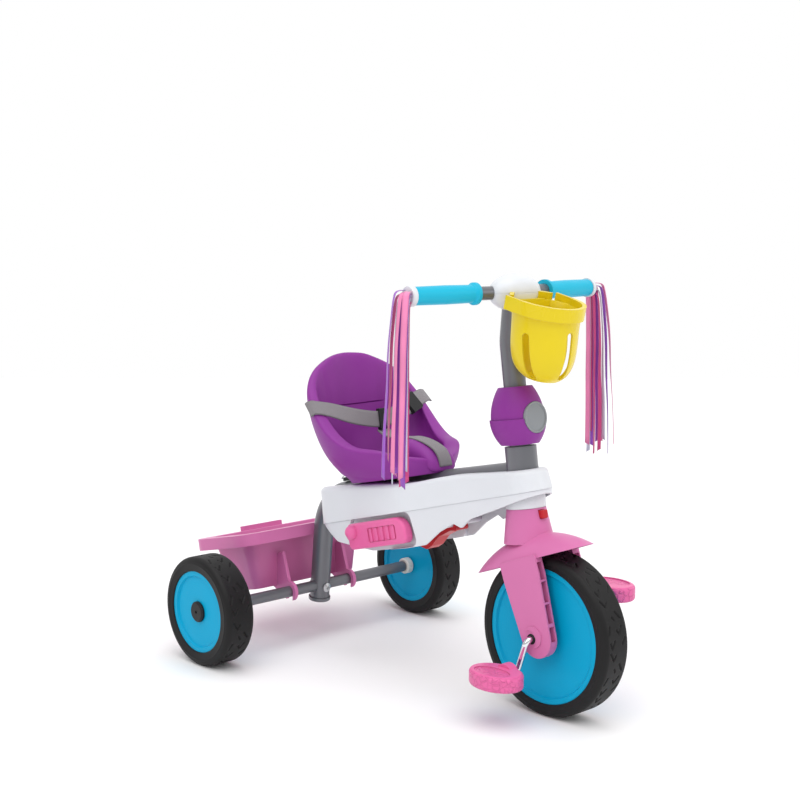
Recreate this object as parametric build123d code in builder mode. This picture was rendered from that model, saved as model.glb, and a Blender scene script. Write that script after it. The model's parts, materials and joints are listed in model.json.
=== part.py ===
from build123d import *
import os
from math import atan2, cos, degrees, hypot, radians, sin, tan

# A children's tricycle in millimetres.
# +X is forward, +Y is the rider's left, +Z is up and the floor is at Z = 0.
# The origin is on the floor, midway along and across the tricycle.

# Overall layout
WHEELBASE = 510.0
TRACK = 444.0
FRONT_WHEEL_D = 228.0
REAR_WHEEL_D = 170.0
TYRE_WIDTH = 52.0
BIN_OVERHANG = 165.0

# Fits shared by all the pieces
RUN_FIT = 0.05
LOOSE_FIT = 0.4
END_GAP = 0.4

# Wheels
FRONT_RIM_D = 191.0
REAR_RIM_D = 126.0
TYRE_SHOULDER = 9.0
RIM_WIDTH = 46.0
RIM_LIP = 7.0
RIM_DISH = 3.0
RIM_WALL = 2.5
HUB_D = 32.0

# Rear axle
AXLE_D = 18.0
AXLE_WALL = 2.5
AXLE_STUB = 22.0
BUSH_D = 27.0
BUSH_LENGTH = 12.0
CAP_D = 32.0
CAP_LENGTH = 5.0
CAP_HOLE_D = 5.0
AXLE_BOLT_D = 6.0
AXLE_BOLT_HEAD_D = 15.0
AXLE_BOLT_HEAD = 4.0
AXLE_NUT_ACROSS = 10.0
AXLE_NUT = 5.0

# Frame tube
TUBE_D = 32.0
TUBE_WALL = 2.0
TUBE_RISE = 12.0
TUBE_BEND = 80.0
POST_LEAN = 6.0
POST_FOOT_Z = 66.0
PLUG_D = 36.0
PLUG_HEIGHT = 6.0
HEAD_D = 45.0
HEAD_WALL = 2.0

# Steering axis, with heights measured up the axis from the front wheel's centre
RAKE = 8.0
FORK_OFFSET = 30.0
NECK_LOW = 129.0
NECK_TOP = 171.0
HEAD_LOW = 190.0
HEAD_TOP = 258.0
TUBE_JOINT = 221.0
HEAD_BUSH = 14.0
COLLAR_D = 57.0

# White body, with its outline on the parting plane and u measured from the steering axis
PART_LINE = 192.5
BODY_RISE = 14.5
NOSE_R = 40.0
BELLY_U = -200.0
BELLY_R = 64.0
TAIL_U = -378.0
TAIL_R = 50.0
SHELL_WALL = 3.0
SHELL_STEP = 1.0
UPPER_DRAFT = 5.0
LOWER_DRAFT = 8.0
SHELL_TALL = 80.0
SHELL_DEEP = 70.0
SHELL_ROUND = 8.0
TOP_LINE = (
    (-480, 12), (-364, 11), (-240, 7), (-180, 4), (-135, 6.5), (-112, 7.5), (-60, 6), (0, 4), (70, 2),
)
EDGE_LINE = (
    (-440, 6), (-404, 2), (-373, -31), (-290, -52), (-202, -54), (-166, -53), (-134, -37),
    (-104, -28), (-92, -36), (-72, -25), (-9, -15), (60, -2),
)
EDGE_ROUNDS = (6, 14, 30, 20, 12, 16, 4, 4, 10, 20)

# Red lever under the body
LEVER_PIVOT = (-146.0, -30.0)
LEVER_WIDTH = 24.0
LEVER_PIN_D = 8.0
LEVER_PIN_REACH = 50.0
LEVER_ROUND = 4.0
LEVER_LINE = (
    (-222, -56), (-208, -62), (-196, -58), (-178, -46), (-150, -39), (-136, -41),
    (-136, -20), (-160, -18), (-200, -34), (-222, -44),
)

# Footrests
REST_LENGTH = 133.0
REST_HEIGHT = 40.0
REST_THICKNESS = 14.0
REST_LATERAL = 54.0
REST_U = -254.0
REST_W = -26.0
REST_POCKET_GAP = 7.2
REST_HINGE = (-316.0, -24.0)
REST_BARREL_R = 9.0
REST_KNOB_R = 11.0
REST_BOSS_R = 7.0
REST_PIN_D = 7.0
REST_BOSS_DEPTH = 28.0
REST_BARREL_FOOT = 2.0

# Seat, with u along the tube and w square to it
SEAT_X = 137.0
SEAT_LIFT = 1.0
SEAT_SKIRT = 4.0
SEAT_ROLL = 8.0
SEAT_OUTER = (
    (0, 68, 92, 66), (18, 62, 99, 84), (45, 55, 102, 102), (85, 44, 97, 115), (125, 35, 90, 119),
    (155, 29, 84, 112), (178, 22, 74, 94), (195, 14, 60, 66), (207, 6, 44, 28),
)
SEAT_INNER = (
    (14, 40, 44, 44), (36, 44, 62, 66), (70, 48, 76, 85), (100, 51, 81, 94),
    (135, 54, 82, 96), (158, 57, 80, 84), (180, 60, 78, 58), (200, 62, 76, 26),
)
SEAT_RIM = (
    (-34, 240), (-24, 205), (-6, 155), (16, 116), (46, 74), (78, 52), (116, 42), (160, 18), (190, 4),
)
POMMEL_LINE = ((88, 14), (92, 46), (112, 52), (146, 37), (164, 20), (164, 4))
POMMEL_WIDTH = 58.0
SADDLE_WIDTH = 44.0
SADDLE_LENGTH = 120.0
SADDLE_RISE = 9.0
SADDLE_DROP = 5.0
SADDLE_U = 80.0
SEAT_TRAVEL = 30.0
TONGUE_U = -58.0
TONGUE_WIDTH = 18.0
TONGUE_HEIGHT = 6.0
PIN_D = 5.0
PIN_HEAD_R = 3.5
PIN_REACH = 4.0
RING_R = 8.0
RING_WIRE_D = 1.6
RING_FALL = 35.0
STRAP_WIDTH = 25.0
STRAP_THICKNESS = 1.5
SLIDER_LENGTH = 12.0
BUCKLE_LENGTH = 30.0

# Rear bin
BIN_TILT = 12.5
BIN_WIDTH = 290.0
BIN_FRONT = -12.0
BIN_FRONT_Z = 188.0
BIN_FLANGE = 24.0
BIN_BAND = 19.0
BIN_DEPTH = 92.0
BIN_DRAFT = 12.0
BIN_WALL = 3.0
BIN_CORNER = 34.0
BIN_LIP_WIDTH = 86.0
BIN_LIP_HEIGHT = 8.0
BIN_CLIP_LATERAL = 62.0
BIN_CLIP = 6.0

# Fork and fender
LEG_NEAR = 32.0
LEG_FAR = 46.0
LEG_FOOT_R = 26.0
LEG_HALF = 34.0
FENDER_RING = 124.0
FENDER_R = 47.0
FENDER_WALL = 3.0
FENDER_DROP = 31.0
FENDER_EDGE = 105.0
NECK_LOW_R = 35.0
NECK_TOP_R = 28.0
BUTTON_SIZE = 12.0
BUTTON_REACH = 35.0
BUTTON_PRESS = 3.5
BUTTON_HEIGHT = 162.0
BUTTON_SEAT = 19.4
LEG_WINDOWS = ((34, 0, 20), (36, 28, 26), (38, 58, 28), (41, 87, 24))
LEG_WINDOW = 22.0
LEG_WEB = 2.5

# Crank and pedals
CRANK_D = 9.0
CRANK_THROW = 50.0
CRANK_ARM = 55.0
CRANK_END = 125.0
CRANK_BEND = 8.5
CRANK_ANGLE = -109.0
CRANK_BUSH_D = 15.0
PEDAL_LENGTH = 84.0
PEDAL_WIDTH = 62.0
PEDAL_HEIGHT = 22.0
PEDAL_NEAR = 67.0

# Stem, ball cover and handlebar
STEM_D = 32.0
STEM_WALL = 2.0
STEM_KINK = 405.0
STEM_BEND = 60.0
BAR_X = 430.0
BAR_Z = 584.0
BAR_D = 19.0
BAR_WALL = 1.5
BAR_HALF = 176.0
BAR_SWEEP = 6.2
BAR_BEND = 60.0
HUB_HALF = 46.0
HUB_R = 26.0
GRIP_NEAR = 70.0
GRIP_FAR = 178.0
GRIP_R = 13.0
GRIP_FLANGE_R = 15.5
GRIP_FLANGE = 5.0
END_PLUG = 8.0
END_PLUG_R = 14.0
BALL_LOW = 260.5
BALL_SEAM = 297.0
BALL_TOP = 341.5
BALL_LOW_R = 27.0
BALL_MID_R = 40.0
BALL_TOP_R = 24.0
BALL_WALL = 3.0
BALL_BULGE = 3.5
MEDALLION_D = 44.0
MEDALLION = 4.0
MEDALLION_SEAT = 31.0
MEDALLION_RIM = 2.5
MEDALLION_PEG_D = 12.0

# Basket
BASKET_X = 490.0
BASKET_Z = 567.0
BASKET_TILT = -13.0
BASKET_R = 50.0
BASKET_BAND = 19.0
BASKET_WALL = 3.0
BASKET_DEPTH = 98.0
BASKET_BACK = 460.0
BASKET_ARM = 30.0
BASKET_HOOK = 18.0
BASKET_SLOTS = (-86.0, 0.0, 86.0)
BASKET_SLOT = 11.0

# Streamers
RIBBON_THICKNESS = 0.5
RIBBON_DROPS = (-34.0, -76.0, -128.0, -184.0, -238.0)
RIBBON_ROOT = 5.5
RIBBON_CLEAR = 0.1
RIBBON_SPLAY = {-1: -12.0, 0: 12.0, 1: 35.0}
RIBBONS = {
    "pink": ((-1, -7, 7.0, 1.0, 0.8, 0.97), (1, 7, 9.0, 4.0, 1.0, 1.02), (0, 5.5, 7.0, 2.8, 0.9, 1.0)),
    "rose": ((1, -7, 7.0, 0.8, 0.7, 1.0), (-1, 3, 7.0, 2.0, 0.9, 0.93), (0, -4.5, 6.0, 0.9, 0.8, 1.04)),
    "violet": ((-1, 8, 7.0, 3.0, 1.0, 1.05), (0, 0.5, 7.0, 1.8, 0.8, 0.98), (1, 3, 8.0, 2.6, 0.8, 1.06)),
    "white": ((-1, -2, 6.5, 1.4, 0.9, 1.04), (1, -2, 7.0, 1.6, 0.8, 0.95)),
}

# Places that follow from the sizes above
REAR_X = -(WHEELBASE + FRONT_WHEEL_D / 2 - BIN_OVERHANG) / 2
FRONT_X = REAR_X + WHEELBASE
REAR_Z = REAR_WHEEL_D / 2
FRONT_Z = FRONT_WHEEL_D / 2
AXLE_CENTRE = (REAR_X, 0, REAR_Z)
CRANK_CENTRE = (FRONT_X, 0, FRONT_Z)
RIGHT = -1
LEFT = 1
SIDES = ((RIGHT, "right"), (LEFT, "left"))


def side_plane(x, z, rise):
    """Seen from the right: local x runs forward and climbs by rise degrees, local y runs up."""
    turn = radians(rise)
    return Plane(origin=(x, 0, z), x_dir=(cos(turn), 0, sin(turn)), z_dir=(0, -1, 0))


def deck_plane(x, z, rise):
    """Seen from above: local x runs forward and climbs by rise degrees, local y runs to the left."""
    turn = radians(rise)
    return Plane(origin=(x, 0, z), x_dir=(cos(turn), 0, sin(turn)), z_dir=(-sin(turn), 0, cos(turn)))


def spin_plane(centre):
    """A section through a cross axis: local x runs to the left along the axis, local y runs up."""
    return Plane(origin=centre, x_dir=(0, 1, 0), z_dir=(1, 0, 0))


def cross_axis(centre):
    return Axis(centre, (0, 1, 0))


def steer_point(height, forward=0.0):
    """The X and Z of a place given up the steering axis and square to it, ahead."""
    turn = radians(RAKE)
    x = FRONT_X - FORK_OFFSET - height * sin(turn) + forward * cos(turn)
    z = FRONT_Z + height * cos(turn) + forward * sin(turn)
    return x, z


def write(piece, name):
    """Save one node as a STEP file of its own."""
    piece.part.label = name
    export_step(piece.part, f"parts/{name}.step")


os.makedirs("parts", exist_ok=True)

STEER = deck_plane(*steer_point(0), RAKE)
STEER_SIDE = side_plane(*steer_point(0), RAKE)
STEER_AXIS = Axis(STEER.origin, STEER.z_dir)
JOINT_X, JOINT_Z = steer_point(TUBE_JOINT)
TUBE_SIDE = side_plane(JOINT_X, JOINT_Z, TUBE_RISE)
BODY = deck_plane(*steer_point(PART_LINE), BODY_RISE)
BODY_UNDER = Plane(origin=BODY.origin, x_dir=BODY.x_dir, z_dir=-BODY.z_dir)
BODY_SIDE = side_plane(*steer_point(PART_LINE), BODY_RISE)
CROWN_X, CROWN_Z = steer_point(NECK_LOW)
LEG_RAKE = degrees(atan2(FRONT_X - CROWN_X, CROWN_Z - FRONT_Z))
LEG_SIDE = side_plane(FRONT_X, FRONT_Z, LEG_RAKE)


# Rear and front wheels
def build_tyre(centre, wheel_d, rim_d, name):
    with BuildPart() as tyre:
        with BuildSketch(spin_plane(centre)) as section:
            with Locations((0, (wheel_d + rim_d) / 4)):
                Rectangle(TYRE_WIDTH, (wheel_d - rim_d) / 2)
            fillet(section.vertices().group_by(Axis.Y)[-1], TYRE_SHOULDER)
            fillet(section.vertices().group_by(Axis.Y)[0], 1.5)
        revolve(axis=cross_axis(centre))
    write(tyre, name)


def build_rim(centre, rim_d, bore_d, out, name):
    """One moulded half of a wheel: a dished face, an outer lip and half of the hub."""
    face = RIM_WIDTH / 2
    rim_r = rim_d / 2
    bore_r = bore_d / 2
    back = face - RIM_DISH - RIM_WALL
    outline = (
        (0, rim_r), (face, rim_r), (face, rim_r - RIM_LIP), (face - RIM_DISH, rim_r - RIM_LIP - 2),
        (face - RIM_DISH, bore_r), (0, bore_r), (0, HUB_D / 2), (back, HUB_D / 2),
        (back, rim_r - RIM_WALL), (0, rim_r - RIM_WALL),
    )
    with BuildPart() as rim:
        with BuildSketch(spin_plane(centre)):
            with BuildLine():
                Polyline(*[(out * along, r) for along, r in outline], close=True)
            make_face()
        revolve(axis=cross_axis(centre))
    write(rim, name)


for side, word in SIDES:
    centre = (REAR_X, side * TRACK / 2, REAR_Z)
    build_tyre(centre, REAR_WHEEL_D, REAR_RIM_D, f"rear_{word}_tyre")
    build_rim(centre, REAR_RIM_D, AXLE_D + 2 * RUN_FIT, side, f"rear_{word}_outer_rim")
    build_rim(centre, REAR_RIM_D, AXLE_D + 2 * RUN_FIT, -side, f"rear_{word}_inner_rim")

build_tyre(CRANK_CENTRE, FRONT_WHEEL_D, FRONT_RIM_D, "front_tyre")
build_rim(CRANK_CENTRE, FRONT_RIM_D, CRANK_D, RIGHT, "front_right_rim")
build_rim(CRANK_CENTRE, FRONT_RIM_D, CRANK_D, LEFT, "front_left_rim")

# Rear axle, a tube held in the post by one cross bolt
POST_BOLT = side_plane(REAR_X, REAR_Z, -POST_LEAN)
BOLT_AXIS = Axis(POST_BOLT.origin, POST_BOLT.x_dir)
AXLE_END = TRACK / 2 + AXLE_STUB
BOLT_LINE = Plane(origin=POST_BOLT.origin, x_dir=(0, 1, 0), z_dir=POST_BOLT.x_dir)
with BuildPart() as rear_axle:
    with BuildSketch(Plane.XZ.shift_origin((REAR_X, 0, REAR_Z))):
        Circle(AXLE_D / 2)
        Circle(AXLE_D / 2 - AXLE_WALL, mode=Mode.SUBTRACT)
    extrude(amount=AXLE_END, both=True)
    with BuildSketch(BOLT_LINE):
        Circle(AXLE_BOLT_D / 2 + RUN_FIT)
    extrude(amount=AXLE_D, both=True, mode=Mode.SUBTRACT)
write(rear_axle, "rear_axle")

BUSH_FACE = TRACK / 2 - RIM_WIDTH / 2 - END_GAP
with BuildPart() as axle_bushes:
    for side, word in SIDES:
        with BuildSketch(spin_plane(AXLE_CENTRE)):
            with BuildLine():
                Polyline(
                    (side * BUSH_FACE, AXLE_D / 2), (side * BUSH_FACE, BUSH_D / 2),
                    (side * (BUSH_FACE - BUSH_LENGTH + 2), BUSH_D / 2),
                    (side * (BUSH_FACE - BUSH_LENGTH), BUSH_D / 2 - 2),
                    (side * (BUSH_FACE - BUSH_LENGTH), AXLE_D / 2), close=True,
                )
            make_face()
        revolve(axis=cross_axis(AXLE_CENTRE))
write(axle_bushes, "axle_bushes")

CAP_FACE = TRACK / 2 + RIM_WIDTH / 2 - RIM_DISH + END_GAP
with BuildPart() as axle_caps:
    for side, word in SIDES:
        with BuildSketch(spin_plane(AXLE_CENTRE)):
            with BuildLine():
                Polyline(
                    (side * CAP_FACE, AXLE_D / 2), (side * CAP_FACE, CAP_D / 2),
                    (side * (CAP_FACE + CAP_LENGTH - 2), CAP_D / 2),
                    (side * (CAP_FACE + CAP_LENGTH), CAP_D / 2 - 2.5),
                    (side * (CAP_FACE + CAP_LENGTH), CAP_HOLE_D / 2), (side * AXLE_END, CAP_HOLE_D / 2),
                    (side * AXLE_END, AXLE_D / 2), close=True,
                )
            make_face()
        revolve(axis=cross_axis(AXLE_CENTRE))
write(axle_caps, "axle_caps")

with BuildPart() as axle_bolt:
    with BuildSketch(POST_BOLT):
        with BuildLine():
            Polyline(
                (-TUBE_D / 2 - AXLE_NUT - 2, 0), (-TUBE_D / 2 - AXLE_NUT - 2, AXLE_BOLT_D / 2),
                (TUBE_D / 2, AXLE_BOLT_D / 2), (TUBE_D / 2, AXLE_BOLT_HEAD_D / 2),
                (TUBE_D / 2 + AXLE_BOLT_HEAD * 0.5, AXLE_BOLT_HEAD_D / 2),
                (TUBE_D / 2 + AXLE_BOLT_HEAD, AXLE_BOLT_HEAD_D / 4),
                (TUBE_D / 2 + AXLE_BOLT_HEAD, 0), close=True,
            )
        make_face()
    revolve(axis=BOLT_AXIS)
    with BuildSketch(BOLT_LINE.offset(TUBE_D / 2 + AXLE_BOLT_HEAD * 0.4)):
        Rectangle(AXLE_BOLT_HEAD_D * 0.5, 1.6)
        Rectangle(1.6, AXLE_BOLT_HEAD_D * 0.5)
    extrude(amount=AXLE_BOLT_HEAD, mode=Mode.SUBTRACT)
write(axle_bolt, "axle_bolt")

with BuildPart() as axle_nut:
    with BuildSketch(BOLT_LINE.offset(-TUBE_D / 2 - AXLE_NUT)):
        RegularPolygon(AXLE_NUT_ACROSS / 2, 6, major_radius=False)
        Circle(AXLE_BOLT_D / 2, mode=Mode.SUBTRACT)
    extrude(amount=AXLE_NUT)
write(axle_nut, "axle_nut")

# Frame: one bent tube for the post and the main tube, welded to the head tube
lean = radians(POST_LEAN)
climb = radians(TUBE_RISE)
reach_x = JOINT_X - REAR_X
reach_z = JOINT_Z - REAR_Z
along_post = (reach_x * sin(climb) - reach_z * cos(climb)) / (sin(lean) * sin(climb) - cos(lean) * cos(climb))
BEND_CORNER = (REAR_X + along_post * sin(lean), REAR_Z + along_post * cos(lean))
POST_FOOT = (REAR_X + (POST_FOOT_Z - REAR_Z) * tan(lean), POST_FOOT_Z)
with BuildLine(Plane.XZ) as tube_line:
    FilletPolyline(POST_FOOT, BEND_CORNER, (JOINT_X, JOINT_Z), radius=TUBE_BEND)
tube_route = tube_line.wire()
FOOT_PLANE = Plane(origin=tube_route @ 0, x_dir=(0, 1, 0), z_dir=tube_route % 0)

with BuildPart() as tube_room:
    with BuildSketch(FOOT_PLANE):
        Circle(TUBE_D / 2 + LOOSE_FIT)
    sweep(path=tube_route)

with BuildPart() as head_room:
    with BuildSketch(STEER.offset(NECK_TOP)):
        Circle(HEAD_D / 2 + LOOSE_FIT)
    extrude(amount=HEAD_TOP - NECK_TOP + 40)

seat_reach = REAR_X + SEAT_X - JOINT_X
SEAT_TUBE = deck_plane(JOINT_X + seat_reach, JOINT_Z + seat_reach * tan(climb), TUBE_RISE)
SEAT = SEAT_TUBE.offset(TUBE_D / 2 + SEAT_LIFT)
SEAT_SIDE = Plane(origin=SEAT.origin, x_dir=SEAT.x_dir, z_dir=(0, -1, 0))

with BuildPart() as frame:
    with BuildSketch(FOOT_PLANE):
        Circle(TUBE_D / 2)
    sweep(path=tube_route)
    with BuildSketch(FOOT_PLANE):
        Circle(TUBE_D / 2 - TUBE_WALL)
    sweep(path=tube_route, mode=Mode.SUBTRACT)
    with BuildSketch(STEER.offset(HEAD_LOW)):
        Circle(HEAD_D / 2)
    extrude(amount=HEAD_TOP - HEAD_LOW)
    with BuildSketch(STEER.offset(HEAD_LOW)):
        Circle(HEAD_D / 2 - HEAD_WALL)
    extrude(amount=HEAD_TOP - HEAD_LOW, mode=Mode.SUBTRACT)
    with BuildSketch(Plane.XZ.shift_origin((REAR_X, 0, REAR_Z))):
        Circle(AXLE_D / 2 + RUN_FIT)
    extrude(amount=TUBE_D, both=True, mode=Mode.SUBTRACT)
    with BuildSketch(BOLT_LINE):
        Circle(AXLE_BOLT_D / 2 + RUN_FIT)
    extrude(amount=TUBE_D, both=True, mode=Mode.SUBTRACT)
    with BuildSketch(SEAT_TUBE):
        with Locations((TONGUE_U + SEAT_TRAVEL / 2, 0)):
            SlotCenterToCenter(SEAT_TRAVEL, PIN_D + 2 * LOOSE_FIT)
    extrude(amount=TUBE_D, mode=Mode.SUBTRACT)
write(frame, "frame")

with BuildPart() as post_plug:
    with BuildSketch(FOOT_PLANE):
        Circle(TUBE_D / 2 - TUBE_WALL)
    extrude(amount=PLUG_HEIGHT * 1.4)
    with BuildSketch(FOOT_PLANE.offset(-PLUG_HEIGHT)):
        Circle(PLUG_D / 2)
    extrude(amount=PLUG_HEIGHT)
    fillet(post_plug.edges().group_by(Axis.Z)[0], 2)
write(post_plug, "post_plug")

# Bushes between the head tube and the stem
with BuildPart() as head_bushes:
    for height in (HEAD_LOW, HEAD_TOP - HEAD_BUSH):
        with BuildSketch(STEER.offset(height)):
            Circle(HEAD_D / 2 - HEAD_WALL)
            Circle(STEM_D / 2 + RUN_FIT, mode=Mode.SUBTRACT)
        extrude(amount=HEAD_BUSH)
write(head_bushes, "head_bushes")

with BuildPart() as head_collar:
    with BuildSketch(STEER.offset(NECK_TOP + END_GAP)):
        Circle(COLLAR_D / 2)
        Circle(STEM_D / 2 + LOOSE_FIT, mode=Mode.SUBTRACT)
    extrude(amount=HEAD_LOW - NECK_TOP - END_GAP)
write(head_collar, "head_collar")


# White body in two shells that meet on a sloping parting plane
def body_outline(plane, inset):
    with BuildSketch(plane) as outline:
        for u, r in ((TAIL_U, TAIL_R), (BELLY_U, BELLY_R), (0, NOSE_R)):
            with Locations((u, 0)):
                Circle(r - inset)
        make_hull()
    return outline.sketch


def under_top(drop):
    """The side view of all that lies below the body's top line, lowered by drop."""
    with BuildSketch(TUBE_SIDE.offset(-SHELL_TALL)) as region:
        with BuildLine():
            top = Spline(*[(x, y - drop) for x, y in TOP_LINE])
            Polyline(top @ 1, ((top @ 1).X, -200), ((top @ 0).X, -200), top @ 0)
        make_face()
    return region.sketch


def above_edge():
    """The side view of all that lies above the body's lower edge."""
    with BuildSketch(BODY_SIDE) as region:
        with BuildLine():
            edge = FilletPolyline(*EDGE_LINE, radius=EDGE_ROUNDS)
            Polyline(edge @ 1, (EDGE_LINE[-1][0], 60), (EDGE_LINE[0][0], 60), edge @ 0)
        make_face()
    return region.sketch


def keel_outlines(inset):
    """Two outlines, one on the parting plane and one further in at the end of the draft."""
    taper = SHELL_DEEP * tan(radians(LOWER_DRAFT))
    return [body_outline(BODY_UNDER, inset), body_outline(BODY_UNDER.offset(SHELL_DEEP), inset + taper)]


def crown(inset, round_r):
    """The upper half of the body, drawn in by inset, with its top edge rounded."""
    with BuildPart() as half:
        extrude(body_outline(BODY, inset), amount=SHELL_TALL, taper=UPPER_DRAFT)
        extrude(under_top(inset), amount=2 * SHELL_TALL, mode=Mode.INTERSECT)
        top_faces = half.faces().filter_by(GeomType.EXTRUSION)
        fillet([edge for face in top_faces for edge in face.edges()], round_r)
    return half.part


with BuildPart() as upper_shell:
    add(crown(0, SHELL_ROUND))
    add(crown(SHELL_WALL, SHELL_ROUND - SHELL_WALL), mode=Mode.SUBTRACT)
    add(tube_room.part, mode=Mode.SUBTRACT)
    add(head_room.part, mode=Mode.SUBTRACT)
    with BuildSketch(TUBE_SIDE):
        with Locations((TOP_LINE[0][0] / 2, 20)):
            Rectangle(-TOP_LINE[0][0], 40)
    extrude(amount=TUBE_D / 2 + LOOSE_FIT, both=True, mode=Mode.SUBTRACT)
write(upper_shell, "upper_shell")

REST_FLOOR = REST_LATERAL - REST_POCKET_GAP
with BuildSketch(BODY_SIDE) as rest_pocket:
    with Locations((REST_U, REST_W)):
        RectangleRounded(REST_LENGTH + 14, REST_HEIGHT + 14, 12)
with BuildPart() as lower_room:
    loft(keel_outlines(SHELL_STEP + SHELL_WALL), ruled=True)
    for side, word in SIDES:
        with BuildSketch(BODY_SIDE.offset(-side * (REST_FLOOR - SHELL_WALL))):
            add(rest_pocket.sketch_local)
            offset(amount=SHELL_WALL, kind=Kind.INTERSECTION)
        extrude(amount=-side * 40, mode=Mode.SUBTRACT)


def hinge_plane(side):
    """The footrest hinge: its axis leans out, up and forward by equal amounts."""
    foot = BODY_SIDE.from_local_coords((*REST_HINGE, REST_LATERAL + REST_THICKNESS / 2))
    return Plane(origin=(foot.X, -side * foot.Y, foot.Z), z_dir=(1, side, 1))


with BuildPart() as lower_shell:
    loft(keel_outlines(SHELL_STEP), ruled=True)
    extrude(above_edge(), amount=SHELL_TALL, both=True, mode=Mode.INTERSECT)
    add(lower_room.part, mode=Mode.SUBTRACT)
    add(tube_room.part, mode=Mode.SUBTRACT)
    for side, word in SIDES:
        with BuildSketch(BODY_SIDE.offset(-side * REST_FLOOR)):
            add(rest_pocket.sketch_local)
        extrude(amount=-side * 40, mode=Mode.SUBTRACT)
        with BuildSketch(hinge_plane(side).offset(-REST_BOSS_DEPTH)):
            Circle(REST_BOSS_R)
        extrude(amount=REST_BOSS_DEPTH - REST_BARREL_FOOT - END_GAP)
        with BuildSketch(hinge_plane(side).offset(-REST_BOSS_DEPTH)):
            Circle(REST_PIN_D / 2)
        extrude(amount=REST_BOSS_DEPTH, mode=Mode.SUBTRACT)
    with BuildSketch(BODY_SIDE):
        with Locations(LEVER_PIVOT):
            Circle(LEVER_PIN_D / 2)
    extrude(amount=LEVER_PIN_REACH, both=True)
write(lower_shell, "lower_shell")

# Red lever, a plate that hangs in the arch on a cross pin of the lower shell
with BuildPart() as release_lever:
    with BuildSketch(BODY_SIDE):
        with BuildLine():
            FilletPolyline(*LEVER_LINE, radius=LEVER_ROUND, close=True)
        make_face()
        with Locations(LEVER_PIVOT):
            Circle(LEVER_PIN_D / 2 + RUN_FIT, mode=Mode.SUBTRACT)
    extrude(amount=LEVER_WIDTH / 2, both=True)
write(release_lever, "release_lever")

# Footrests, each folded up into its pocket and swinging out on a leaning pin
for side, word in SIDES:
    hinge = hinge_plane(side)
    with BuildPart() as footrest:
        with BuildSketch(BODY_SIDE.offset(-side * REST_LATERAL)) as pad:
            with Locations((REST_U, REST_W)):
                Rectangle(REST_LENGTH, REST_HEIGHT)
            fillet(pad.vertices().group_by(Axis.X)[0], 8)
            fillet(pad.vertices().group_by(Axis.X)[-1].sort_by(Axis.Y)[-1], 24)
            fillet(pad.vertices().group_by(Axis.X)[-1].sort_by(Axis.Y)[0], 10)
        extrude(amount=-side * REST_THICKNESS)
        outer_face = footrest.faces().sort_by(Axis.Y)[-1 if side == LEFT else 0]
        fillet(outer_face.edges(), 4)
        with BuildSketch(BODY_SIDE.offset(-side * (REST_LATERAL + REST_THICKNESS - 3))):
            with Locations((REST_U + 14, REST_W - 1)):
                RectangleRounded(64, 22, 3)
        extrude(amount=-side * 10, mode=Mode.SUBTRACT)
        with BuildSketch(BODY_SIDE.offset(-side * (REST_LATERAL + REST_THICKNESS - 3.5))):
            with Locations((REST_U + 14, REST_W - 1)):
                with GridLocations(13, 0, 5, 1):
                    Rectangle(5, 20)
        extrude(amount=-side * 3)
        with BuildSketch(hinge.offset(-REST_BARREL_FOOT)):
            Circle(REST_BARREL_R)
        extrude(amount=18)
        with Locations(hinge.offset(13)):
            Sphere(REST_KNOB_R)
        with BuildSketch(hinge.offset(-60)):
            Circle(REST_BOSS_R + 1)
        extrude(amount=60 - REST_BARREL_FOOT, mode=Mode.SUBTRACT)
        with BuildSketch(hinge.offset(-REST_BARREL_FOOT)):
            Circle(REST_PIN_D / 2 + RUN_FIT)
        extrude(amount=16, mode=Mode.SUBTRACT)
    write(footrest, f"footrest_{word}")

with BuildPart() as footrest_pins:
    for side, word in SIDES:
        with BuildSketch(hinge_plane(side).offset(2 - REST_BOSS_DEPTH)):
            Circle(REST_PIN_D / 2)
        extrude(amount=REST_BOSS_DEPTH + 10)
write(footrest_pins, "footrest_pins")


# Seat, standing on the sloping tube
def seat_sections(rings):
    """Ovals stacked up the seat, each given as height, middle, half length and half width."""
    ovals = []
    for height, middle, half_length, half_width in rings:
        with BuildSketch(SEAT.offset(height)) as oval:
            with Locations((middle, 0)):
                Ellipse(half_length, half_width)
        ovals.append(oval.sketch)
    return ovals


with BuildPart() as seat_hollow:
    loft(seat_sections(SEAT_INNER))

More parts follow.
